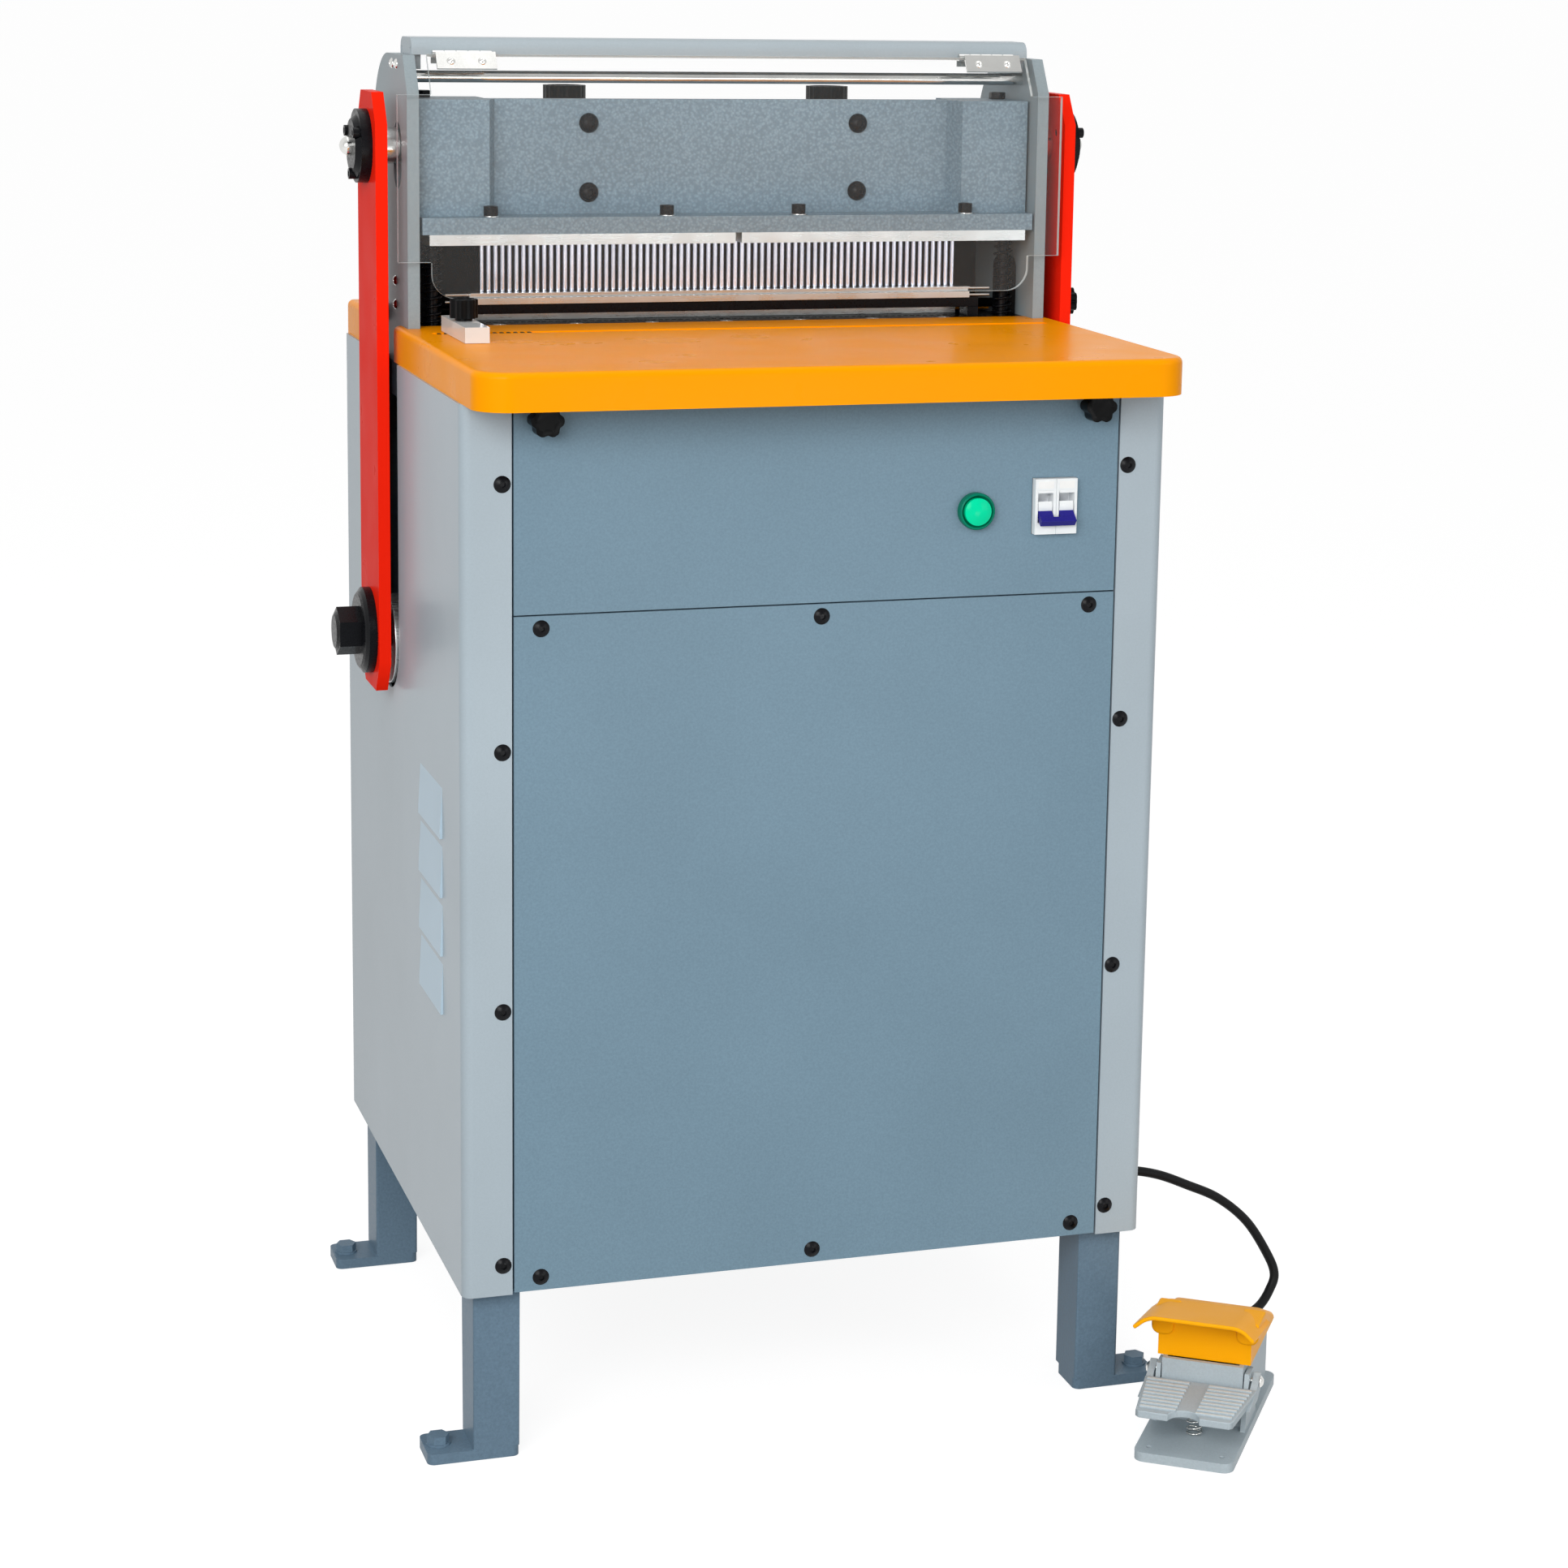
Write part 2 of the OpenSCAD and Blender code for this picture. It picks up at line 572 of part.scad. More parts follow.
// Die set
module die_bed() color(black) difference() {
    union() {
        slab(-plate_in, plate_in, bed_front, bed_back, case_top - 4, die_low);
        slab(-plate_in, plate_in, bed_front, bed_lip, die_low - eps, bed_z);
        both() slab(die_half + 10.3, plate_in, bed_front, press + 26, die_low - eps, bed_z);
    }
    slab(-row_half - 5, row_half + 5, press - 6, press + 6, case_top - 5, die_low + 1);
    for (x = bed_screw_x) at(x, bed_screw_y, bed_z - bed_head_h) {
        translate([0, 0, -0.05]) cylinder(d1 = 5, d2 = bed_head + 0.1, h = bed_head_h + 0.05);
        translate([0, 0, -8.6]) cylinder(d = 5.2, h = 9);
    }
    both() rod_z(spring_x, spring_y, bed_z - 12, bed_z + 1, col_d + 0.02);
}
module die_plate() color(black) difference() {
    union() {
        slab(-die_half - 10, die_half + 10, bed_lip + 0.3, die_back, die_low, bed_z);
        both() slab(die_half, die_half + 10, guide_front, guide_back, bed_z - eps, guide_low);
    }
    for (i = [0:pin_count - 1]) rod_z(-row_half + i * pin_pitch, press, die_low - 1, bed_z + 1,
        pin_d + 2 * pin_gap);
}
module guide_block() color(black) difference() {
    slab(-die_half - 10, die_half + 10, guide_front, guide_back, guide_low, guide_top);
    for (i = [0:pin_count - 1]) rod_z(-row_half + i * pin_pitch, press, guide_low - 1, guide_top + 1,
        pin_d + 2 * pin_gap);
}
// Bright bar over the guide block, with a groove along its front
bar_h = 9.6;
bar_front = guide_front - 4;
bar_back = press - 3.5;
module guide_bar() color(chrome) {
    difference() {
        slab(-die_half, die_half, bar_front, bar_back, guide_top, guide_top + bar_h);
        slab(-die_half - 1, die_half + 1, bar_front - 1, bar_front + 4, guide_top + bar_h - 3.9,
            guide_top + bar_h - 1.4);
    }
    both() for (z = [guide_top + 1.8, guide_top + bar_h - 1.8])
        rod_x(die_half - 4, spring_x - spring_od / 2 - 3, guide_front + 2.4, z, 2.6);
}
module guide_columns() color(black) both() rod_z(spring_x, spring_y, bed_z - 12, beam_low + 28, col_d);
spring_turns = 11;
spring_wire = 2.2;
spring_od = 17;
spring_h = bar_low - bed_z - 0.2;
module return_springs() color(black) for (x = [-spring_x, spring_x])
    at(x, spring_y, bed_z + 0.1) coil(spring_turns, spring_h, spring_od, spring_wire);
guard_h = 96;
bracket_t = 13;
bracket_r = 12;
module rear_guard() color("#2a2c30") {
    slab(-plate_in, plate_in, plate_back - 4, plate_back - 2, table_z + 0.5, table_z + guard_h);
    both() difference() {
        union() {
            slab(plate_in - bracket_t, plate_in, bracket_y - bracket_r, bracket_y + bracket_r, bed_z,
                table_z + 38);
            rod_x(plate_in - bracket_t, plate_in, bracket_y, table_z + 38, 2 * bracket_r);
        }
        for (z = [15, 35]) rod_x(plate_in - 10, plate_in + 1, bracket_y, table_z + z, 5.4);
    }
}

// Controls on the front
module lamp_bezel() color("#1d6b3a") at(lamp_x, 0, lamp_z) rotate([90, 0, 0]) difference() {
    union() {
        cylinder(d = 30, h = 3);
        translate([0, 0, 2.9]) cylinder(d1 = 29, d2 = 26, h = 4.1);
        translate([0, 0, -34]) cylinder(d = 22, h = 35);
        translate([0, 0, -sheet - 5]) cylinder(d = 28, h = 5);
    }
    translate([0, 0, 2]) cylinder(d = 22.4, h = 6);
}
module lamp_lens() color("#35b96a") at(lamp_x, 0, lamp_z) rotate([90, 0, 0]) {
    translate([0, 0, 2]) cylinder(d = 22, h = 6);
    intersection() {
        translate([0, 0, 11 - 22]) sphere(22);
        translate([0, 0, 7.9]) cylinder(d = 22, h = 4);
    }
}
module breaker_body() color("#e9eaec") difference() {
    union() {
        slab(breaker_x - 18, breaker_x + 18, -6, sheet + 1, breaker_z - 22.5, breaker_z + 22.5);
        slab(breaker_x - 18, breaker_x + 18, sheet, 58, breaker_z - 42, breaker_z + 42);
    }
    for (x = [breaker_x - 9, breaker_x + 9]) slab(x - 6.5, x + 6.5, -7, 6, breaker_z - 13, breaker_z + 13);
    slab(breaker_x - 0.3, breaker_x + 0.3, -7, -5, breaker_z - 23, breaker_z + 23);
}
toggle_y = 3;
module breaker_toggle() color("#4a50a8") {
    for (x = [breaker_x - 9, breaker_x + 9]) {
        rod_x(x - 6, x + 6, toggle_y, breaker_z, 5);
        at(x, toggle_y, breaker_z) rotate([40, 0, 0]) translate([-6, -17, -2.2]) cube([12, 17, 4.4]);
    }
    at(breaker_x, toggle_y, breaker_z) rotate([40, 0, 0]) translate([-15, -20, -3]) cube([30, 5, 6]);
}
module hand_knob() color(black) rotate([90, 0, 0]) {
    translate([0, 0, 1.5]) lobed_knob(25, 17, 6);
    cylinder(d = 14, h = 2);
    translate([0, 0, -26]) cylinder(d = 8, h = 26 + eps);
}
module left_hand_knob() at(-knob_x, 0, knob_z) translate([0, -0.3, 0]) hand_knob();
module right_hand_knob() at(knob_x, 0, knob_z) translate([0, -0.3, 0]) hand_knob();

// Side lay guide and margin setting
guide_x = -table_w / 2 + 41;
guide_knob_y = 193;
module side_guide() color("#e4e6e4", 0.6) difference() {
    union() {
        slab(guide_x - 10, guide_x + 10, 140, 236, table_z + 0.3, table_z + 13);
        slab(guide_x - 9, guide_x + 9, groove_y - 2.7, groove_y + 2.7, table_z - 1.2, table_z + 1);
    }
    rod_z(guide_x, guide_knob_y, table_z + 3, table_z + 14, 6 + 2 * run_gap);
}
module side_guide_knob() color(black) at(guide_x, guide_knob_y, table_z + 13.3) {
    translate([0, 0, 2]) lobed_knob(22, 15, 6);
    cylinder(d = 14, h = 2.5);
    translate([0, 0, -9]) cylinder(d = 6, h = 9 + eps);
}
cam_r = 9;
cam_off = 3;
cam_x = 150;
margin_d = 8;
margin_end = link_out + 13.5;
// Shaft with two eccentrics, a collar and a hand knob pushed on it
module margin_knob() color(black) {
    rod_x(-plate_out - 6, margin_end + 10, margin_y, margin_z, margin_d);
    difference() {
        union() {
            for (x = [-cam_x, cam_x]) rod_x(x - 5, x + 5, margin_y + cam_off, margin_z, 2 * cam_r);
            rod_x(-plate_out - 6, -plate_out - 0.5, margin_y, margin_z, 14);
            at(margin_end, margin_y, margin_z) rotate([0, 90, 0]) {
                cylinder(d = 16, h = 6);
                translate([0, 0, 5.9]) lobed_knob(24, 20, 6);
            }
        }
        rod_x(-plate_out - 7, margin_end + 10.3, margin_y, margin_z, margin_d + 0.02);
    }
}
module back_gauge() color(steel) {
    fence = guide_back + 4;
    heel = margin_y - 7;
    slab(-die_half + 2, die_half - 2, fence, fence + 5, bed_z + 0.1, guide_low - 0.5);
    for (x = [-cam_x, cam_x]) {
        slab(x - 8, x + 8, fence + 4.9, heel, bed_z + 0.1, guide_low - 0.5);
        slab(x - 8, x + 8, heel - 3, heel, bed_z + 0.1, margin_z + 9);
    }
}

// Press beam and what it carries
module press_beam() color(cast_grey) difference() {
    edge = beam_edge;
    union() {
        slab(-edge, edge, plate_front, beam_back, beam_low, beam_low + ledge_t);
        // Front wall, set back between the two end blocks
        at(0, 0, beam_low + ledge_t - 0.1) linear_extrude(beam_top - beam_low - ledge_t + 0.1)
            polygon([[-edge, beam_end], [-end_in, beam_end], [8 - end_in, beam_face], [end_in - 8, beam_face],
                [end_in, beam_end], [edge, beam_end], [edge, end_back], [end_in - 2, end_back],
                [end_in - 2, beam_face + beam_wall], [2 - end_in, beam_face + beam_wall], [2 - end_in,
                    end_back],
                [-edge, end_back]]);
        slab(-edge, edge, press, beam_back, beam_top - 24, beam_top - 11);
        slab(-edge, edge, beam_back - beam_wall, beam_back, beam_low + ledge_t - 0.1, beam_top - 20);
        for (i = [-2:2]) slab(i * cell - rib_t / 2, i * cell + rib_t / 2, press, beam_back - beam_wall + 2,
            beam_low + 13, beam_top - 20);
    }
    both() {
        rod_z(spring_x, spring_y, beam_low - 1, beam_low + 48, col_d + 2 * run_gap);
        rod_x(pivot_in - 1, edge + 1, press, hub_z, pivot_d + 0.02);
    }
    // Core openings between the ribs, from the rear
    for (i = [-2.5:2.5]) front_profile(beam_back - beam_wall - 1, beam_back + 1)
        round_rect(i * cell - cell / 2 + 14, beam_low + 24, i * cell + cell / 2 - 14, beam_top - 34, 12);
    for (x = [-button_x, button_x]) {
        for (z = [beam_low + 32, beam_low + 90]) rod_y(x, beam_face - 1, beam_face + beam_wall + 1, z, 10.2);
        rod_z(x, beam_knob_y, beam_top - 30, beam_top - 10, 8 + 2 * run_gap);
    }
    for (x = ledge_screw_x) rod_z(x, ledge_screw_y, beam_low - 1, beam_low + ledge_t + 1, 8.2);
    both() rod_z(edge - 12, press + 20, beam_top - 22, beam_top + 1, 8.2);
}
module pressure_bars() color(steel) difference() {
    joint_x = pin_pitch / 2;
    slab(-plate_in + 8.5, plate_in - 8.5, plate_front + 1, press + 30, bar_low, beam_low);
    // The two bars stand apart in front and meet closely between two pins
    slab(joint_x - 0.8, joint_x + 0.8, plate_front, press + 31, bar_low - 1, beam_low + 1);
    slab(joint_x - 2.8, joint_x + 2.8, plate_front, press - 6, bar_low - 1, beam_low + 1);
    for (i = [0:pin_count - 1]) {
        rod_z(-row_half + i * pin_pitch, press, bar_low - 1, beam_low + 1, pin_d + 0.1);
        rod_z(-row_half + i * pin_pitch, press, beam_low - 2, beam_low + 1, pin_d + 1.1);
    }
    both() rod_z(spring_x, spring_y, bar_low - 1, beam_low + 1, col_d + 2);
    for (x = ledge_screw_x) rod_z(x, ledge_screw_y, bar_low + 2, beam_low + 1, 8.2);
}
module punch_pins() color(chrome) for (i = [0:pin_count - 1]) at(-row_half + i * pin_pitch, press, 0) {
    translate([0, 0, guide_low + 2]) cylinder(d = pin_d, h = beam_low - guide_low - 2);
    translate([0, 0, beam_low - 2]) cylinder(d = pin_d + 1, h = 2);
}
module beam_screws() color(black) {
    for (x = [-button_x, button_x], z = [beam_low + 32, beam_low + 90]) at(x, beam_face, z) rotate([90, 0,
        0]) dome_screw(17, 7, 10, 11);
    for (x = ledge_screw_x) at(x, ledge_screw_y, beam_low + ledge_t) cap_screw(8, 18);
    both() at(beam_edge - 12, press + 20, beam_top) hex_bolt(13, 6, 8, 20);
}
module pivot_pins() color(chrome) both() {
    rod_x(pivot_in, link_out - 0.5, press, hub_z, pivot_d);
    rod_x(link_out - 1, link_out + 17, press, hub_z, 16);
    at(link_out + 14.5, press, hub_z) intersection() {
        sphere(8);
        translate([0, -10, -10]) cube(20);
    }
}
module beam_knob(x) color(black) at(x, beam_knob_y, beam_top - 10.7) difference() {
    union() {
        cylinder(d = 37, h = 19);
        translate([0, 0, -16]) cylinder(d = 8, h = 16 + eps);
    }
    for (i = [0:19]) rotate(i * 18) translate([19, 0, 2]) cylinder(d = 3, h = 20);
    translate([0, 0, 16.5]) cylinder(d = 27, h = 5);
}
module left_beam_knob() beam_knob(-button_x);
module right_beam_knob() beam_knob(button_x);

// Links: chamfered bars on the ends of the beam, driven by the crank discs
module links() color(red) both() side_profile(link_in, link_out) difference() {
    y0 = press - link_w / 2;
    y1 = press + link_w / 2;
    low = crank_z + throw - 48;
    high = hub_z + 45;
    polygon([[y0, low + 26], [y0 + 17, low], [y1 - 17, low], [y1, low + 26],
        [y1, high - 26], [y1 - 17, high], [y0 + 17, high], [y0, high - 26]]);
    translate([press, hub_z]) circle(d = pivot_d + 2 * run_gap);
    translate([press, crank_z + throw]) circle(d = pivot_d + 2 * run_gap);
    for (a = [30, 150, 270]) translate([press + 23 * cos(a), hub_z + 23 * sin(a)]) circle(d = 6.4);
}
module hub_caps() color(black) both() at(0, press, hub_z) rotate([0, 90, 0]) difference() {
    union() {
        translate([0, 0, link_out]) cylinder(d = 61, h = 9);
        translate([0, 0, link_out + 8.9]) cylinder(d1 = 52, d2 = 44, h = 4.1);
    }
    translate([0, 0, link_out - 1]) cylinder(d = 16.6, h = 20);
    for (a = [30, 150, 270]) rotate(a + 90) translate([0, 0, link_out - 1]) {
        translate([23, 0, 0]) cylinder(d = 6.4, h = 20);
        translate([23, 0, 10]) cylinder(d = 10.5, h = 20);
    }
}
module hub_screws() color(black) both() for (a = [30, 150, 270])
    at(link_out + 9, press, hub_z) rotate([0, 90, 0]) rotate(a + 90) translate([23, 0, 0]) cap_screw(6, 18);
module crank_bolts() color(black) both() at(0, press, crank_z + throw) rotate([0, 90, 0]) {
    translate([0, 0, half_w + 2.6]) cylinder(d = pivot_d - 0.02, h = link_out - half_w);
    translate([0, 0, link_out]) cylinder(d = 73, h = 7);
    translate([0, 0, link_out + 6.9]) cylinder(d1 = 73, d2 = 62, h = 4.1);
    translate([0, 0, link_out + 10.9]) cylinder(d = 36 / cos(30), h = 18, $fn = 6);
    translate([0, 0, link_out + 28.8]) cylinder(d1 = 34, d2 = 28, h = 2.2);
}

// Drive inside the cabinet
module crankshaft() color(steel) {
    rod_x(-leg_x, leg_x, press, crank_z, 40);
    both() difference() {
        rod_x(leg_x + 1, half_w + 2, press, crank_z, 76);
        rod_x(half_w - 5, half_w + 3, press, crank_z + throw, 24);
    }
    both() rod_x(leg_x - 1, leg_x + 2, press, crank_z, 40);
}
module crank_bearings() color("#5b6b78") both() difference() {
    union() {
        slab(leg_x - 36, leg_x - 2, press - 62, press + 62, crank_z - 36, crank_z - 20);
        slab(leg_x - 34, leg_x - 4, press - 36, press + 36, crank_z - 36, crank_z);
        rod_x(leg_x - 34, leg_x - 4, press, crank_z, 72);
    }
    rod_x(leg_x - 40, leg_x, press, crank_z, 40 + 2 * run_gap);
    for (y = [press - 50, press + 50]) rod_z(leg_x - 19, y, crank_z - 40, crank_z - 10, 11);
}
module about_x(x, y, z) translate([x, front_y + y, z]) rotate([0, 90, 0]) children();
module groove(r, w) translate([r, 0]) polygon([[0.1, -w], [0.1, w], [-9, w * 0.55], [-9, -w * 0.55]]);
module flywheel() color("#4d565e") about_x(wheel_x, press, crank_z) difference() {
    rotate_extrude($fn = 96) difference() {
        union() {
            translate([20 + run_gap, -32]) square([20, 64]);
            translate([30, -8]) square([100, 16]);
            translate([118, -25]) square([wheel_r - 118, 50]);
        }
        for (w = [-9, 9]) translate([0, w]) groove(wheel_r, 6.5);
    }
    for (i = [0:5]) rotate(i * 60) translate([80, 0, -20]) cylinder(d = 44, h = 40);
}
module clutch() color("#8a5a2b") about_x(wheel_x + 33, press, crank_z) rotate_extrude($fn = 96) difference() {
    union() {
        translate([20.02, 0]) square([60, 24]);
        translate([20.02, 20]) square([16, 24]);
    }
    translate([62, 8]) square([10, 17]);
}
module motor_pulley() color("#4d565e") about_x(wheel_x, motor_y, motor_z) rotate_extrude($fn = 64)
    difference() {
    translate([9.55, -22]) square([pulley_r - 9.55, 44]);
    for (w = [-9, 9]) translate([0, w]) groove(pulley_r, 6.5);
}
module motor() color("#3f5a78") {
    x0 = wheel_x + 45;
    difference() {
        union() {
            rod_x(x0, x0 + 12, motor_y, motor_z, 160);
            rod_x(x0 + 11, x0 + 190, motor_y, motor_z, 142);
            rod_x(x0 + 189, x0 + 235, motor_y, motor_z, 156);
            for (i = [0:23]) at(0, motor_y, motor_z) rotate([i * 15, 0, 0]) translate([x0 + 14, -1.5, 60])
                cube([172, 3, 17]);
        }
        for (a = [0:30:330]) at(0, motor_y, motor_z) rotate([a, 0, 0]) translate([x0 + 230, 0, 48])
            rotate([0, 90, 0]) cylinder(d = 12, h = 10);
    }
    rod_x(wheel_x - 22, x0 + 1, motor_y, motor_z, 19);
    for (x = [x0 + 30, x0 + 140]) difference() {
        slab(x, x + 34, motor_y - 75, motor_y + 75, case_bottom + 42, motor_z - 40);
        front_profile(motor_y - 76, motor_y + 76) translate([x - 1, case_bottom + 54]) square([14, 60]);
        for (y = [motor_y - 62, motor_y + 62]) rod_z(x + 22, y, case_bottom + 40, motor_z, 9);
    }
    slab(x0 + 60, x0 + 130, motor_y - 35, motor_y + 35, motor_z + 66, motor_z + 110);
}
module drive_belts() color("#202124") for (w = [-9, 9]) at(wheel_x + w - 4.5, 0, 0) rotate([90, 0, 90])
    linear_extrude(9) difference() {
    hull() {
        translate([press, crank_z]) circle(wheel_r + 1, $fn = 72);
        translate([motor_y, motor_z]) circle(pulley_r + 1, $fn = 48);
    }
    hull() {
        translate([press, crank_z]) circle(wheel_r - 4.5, $fn = 72);
        translate([motor_y, motor_z]) circle(pulley_r - 4.5, $fn = 48);
    }
}

// Foot switch on its own cord
module cord_gland() color(black) {
    rod_x(half_w - 9, half_w + 1, gland_y, gland_z, 16);
    at(half_w, gland_y, gland_z) rotate([0, 90, 0]) {
        cylinder(d = 24 / cos(30), h = 6, $fn = 6);
        translate([0, 0, 5.9]) cylinder(d1 = 20, d2 = 15, h = 6.1);
    }
}
module on_floor() translate([pedal_x, front_y + pedal_y, 0]) rotate(pedal_turn) children();
module pedal_cheek() rotate([90, 0, 90]) linear_extrude(4) difference() {
    polygon([[-34, 7], [-22, 54], [-4, 54], [16, 7]]);
    translate([treadle_v, treadle_z]) circle(d = 6.2);
}
module pedal_base() color("#9aa3a8") on_floor() {
    w = pedal_w / 2;
    difference() {
        union() {
            linear_extrude(8) round_rect(-w, -pedal_l / 2, w, pedal_l / 2, 9);
            // Switch box behind the treadle
            translate([0, 0, 7]) linear_extrude(53) difference() {
                round_rect(-35, -6, 35, 88, 8);
                round_rect(-31.5, -2.5, 31.5, 84.5, 5);
            }
            translate([-35, -6, 56]) cube([70, 94, 4]);
            translate([-34, -24, 7]) cube([68, 4, 53]);
            for (x = [-34, 30]) translate([x, -22, 7]) cube([4, 20, 53]);
        }
        translate([0, 80, 34]) rotate([-90, 0, 0]) cylinder(d = 12.2, h = 20);
        for (x = [-30, 30], y = [-86, 93]) translate([x, y, -1]) cylinder(d = 5, h = 10);
    }
    for (x = [-39, 35]) translate([x, 0, 0]) pedal_cheek();
    translate([0, 86, 34]) rotate([-90, 0, 0]) difference() {
        union() {
            cylinder(d = 12, h = 4);
            translate([0, 0, 2]) cylinder(d = 18 / cos(30), h = 5, $fn = 6);
            translate([0, 0, 6.9]) cylinder(d1 = 16, d2 = 12, h = 5.1);
        }
    }
}
module pedal_treadle() color("#b4b6b0") on_floor() {
    top = 44;
    difference() {
        union() {
            translate([0, 0, top - 6]) linear_extrude(6) difference() {
                polygon([[-40, -97], [-37, -100], [37, -100], [40, -97], [47, -28], [-47, -28]]);
                translate([0, -101]) circle(13);
            }
            // Ribs in two fields beside a smooth middle band
            for (i = [0:8]) let (y = -92 + 7 * i, x = 38 + 0.72 * i) for (s = [-1, 1])
                translate([s > 0 ? 8 : -x, y, top - eps]) cube([x - 8, 3, 1.4]);
            for (s = [-1, 1]) translate([s * 43.6 - 3, 0, 0]) rotate([90, 0, 90]) linear_extrude(6)
                polygon([[-60, top - 6], [-28, top - 1], [-8, treadle_z + 7], [-6, treadle_z - 6], [-24,
                    top - 12]]);
        }
        for (s = [-1, 1]) translate([s * 43.6 - 4, treadle_v, treadle_z]) rotate([0, 90, 0])
            cylinder(d = 6 + 2 * run_gap, h = 8);
    }
}
module pedal_pivots() color(chrome) on_floor() for (s = [-1, 1]) translate([s * 46.9, treadle_v, treadle_z])
    rotate([0, s * 90, 0])
    dome_screw(10, 3, 6, 11);
// Solid through matching convex outlines [[u, z], ...], each at its own length v
module loft(v, outlines) {
    n = len(outlines[0]);
    m = len(v) - 1;
    polyhedron([for (i = [0:m], p = outlines[i]) [p[0], v[i], p[1]]],
        concat([[for (j = [n - 1:-1:0]) j]], [[for (j = [0:n - 1]) m * n + j]], [for (i = [0:m - 1],
            j = [0:n - 1])
            let (k = (j + 1) % n) [i * n + j, i * n + k, (i + 1) * n + k, (i + 1) * n + j]]));
}
hood_low = 60.2;
function housing(w, c, low, top) = [[-w, low], [w, low], [w, top - c], [w - c, top], [c - w, top], [-w,
    top - c]];
// Upper face of the hood, falling towards the back
function hood_z(v) = 101.2 - (v + 18) * 10 / 58;
function hood_roof(t) = [[-38, t - 3.5], [38, t - 3.5], [38, t], [-38, t]];
function hood_flap(t) = [[36.4, t - 3.5], [46.8, t - 16.4], [49, t - 15], [38, t]];
function hood_shoulder(t) = [for (p = [[36, -25], [42, -23.5], [46, -17.5], [46.8, -15.8], [37, -3]]) [p[0],
    t + p[1]]];
module pedal_canopy() color("#ffa911") on_floor() {
    // Housing over the switch box
    difference() {
        loft([-18, 40, 90], [for (top = [98, 88, 66]) housing(38, 8, hood_low, top)]);
        loft([-14.5, 38.5, 86.5], [for (top = [93.8, 84.3, 62.8]) housing(34.5, 8, hood_low - 8, top)]);
    }
    // Flared hood reaching forward over the treadle, with a shoulder on each side
    loft([-56, 20], [for (v = [-56, 20]) hood_roof(hood_z(v))]);
    both() loft([-56, 20], [for (v = [-56, 20]) hood_flap(hood_z(v))]);
    both() loft([-17, 14], [for (v = [-17, 14]) hood_shoulder(hood_z(v))]);
}
pedal_coil_h = 29.6;
module pedal_spring() color(chrome) on_floor() translate([0, -50, 8.1]) coil(6, pedal_coil_h, 14, 1.6);
module pedal_cord() color(black) tube([for (p = curve(cord_points, 4)) p + [0, front_y, 0]], cord_d, 10, [0,
    1, 0]);

echo(return_spring_gap = coil_gap(coil_points(spring_turns, spring_h, spring_od, spring_wire), spring_wire));
echo(pedal_spring_gap = coil_gap(coil_points(6, pedal_coil_h, 14, 1.6), 1.6));

base_frame();
motor_plate();
floor_bolts();
left_side_panel();
right_side_panel();
control_panel();
lower_front_panel();
rear_panel();
panel_screws();
table();
rear_top_cover();
head_plates();
head_screws();
top_cover();
guard_rod();
hinge_leaves();
die_bed();
die_plate();
guide_block();
guide_bar();
guide_columns();
return_springs();
rear_guard();
lamp_bezel();
lamp_lens();
breaker_body();
motor();
drive_belts();
crank_bearings();
cord_gland();
pedal_base();
pedal_canopy();
pedal_pivots();
pedal_spring();
pedal_cord();
crankshaft();
clutch();
flywheel();
motor_pulley();
press_beam();
pressure_bars();
punch_pins();
beam_screws();
pivot_pins();
left_beam_knob();
right_beam_knob();
links();
hub_caps();
hub_screws();
crank_bolts();
shield();
shield_hinges();
breaker_toggle();
left_hand_knob();
right_hand_knob();
side_guide();
side_guide_knob();
margin_knob();
back_gauge();
pedal_treadle();
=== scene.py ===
"""Looks of a free-standing electric paper punching machine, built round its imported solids.

Lengths here are millimetres, and the helpers turn them into Blender's metres.
"""
import json
import math

import bmesh
import bpy
from mathutils import Matrix, Vector


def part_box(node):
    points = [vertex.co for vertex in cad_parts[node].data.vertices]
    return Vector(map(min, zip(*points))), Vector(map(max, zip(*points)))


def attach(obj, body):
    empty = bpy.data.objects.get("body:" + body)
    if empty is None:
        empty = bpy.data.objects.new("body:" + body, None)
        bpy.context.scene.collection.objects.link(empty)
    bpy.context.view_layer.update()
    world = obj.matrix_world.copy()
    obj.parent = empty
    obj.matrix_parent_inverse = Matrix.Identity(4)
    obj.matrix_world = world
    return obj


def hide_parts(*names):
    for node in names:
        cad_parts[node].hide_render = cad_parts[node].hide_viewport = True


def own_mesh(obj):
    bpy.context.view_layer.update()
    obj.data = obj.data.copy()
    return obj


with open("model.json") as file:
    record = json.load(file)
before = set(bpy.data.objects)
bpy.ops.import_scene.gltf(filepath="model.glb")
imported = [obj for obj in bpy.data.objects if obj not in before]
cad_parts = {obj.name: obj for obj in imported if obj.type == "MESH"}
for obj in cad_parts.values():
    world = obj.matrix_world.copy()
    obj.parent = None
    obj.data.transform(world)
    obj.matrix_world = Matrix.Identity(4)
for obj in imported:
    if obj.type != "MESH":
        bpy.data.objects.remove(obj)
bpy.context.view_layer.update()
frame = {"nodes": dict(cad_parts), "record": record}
NODES = frame["nodes"]
BODY = {n: b for b, names in frame["record"]["behaviour"]["bodies"].items() for n in names}
MM = 0.001
# Corners nearer than this in millimetres are one corner, and faces that turn less than this are one face
MERGE = 0.001
FLAT = math.radians(0.6)
LOOK = {}

bl_info = {
    "name": "Paper punching machine looks",
    "version": (1, 0, 0),
    "blender": (4, 5, 0),
    "location": "View3D > Sidebar > Punch",
    "description": "Builds the visible pieces of an electric paper punching machine round its solids",
    "category": "Object",
}


# Settings

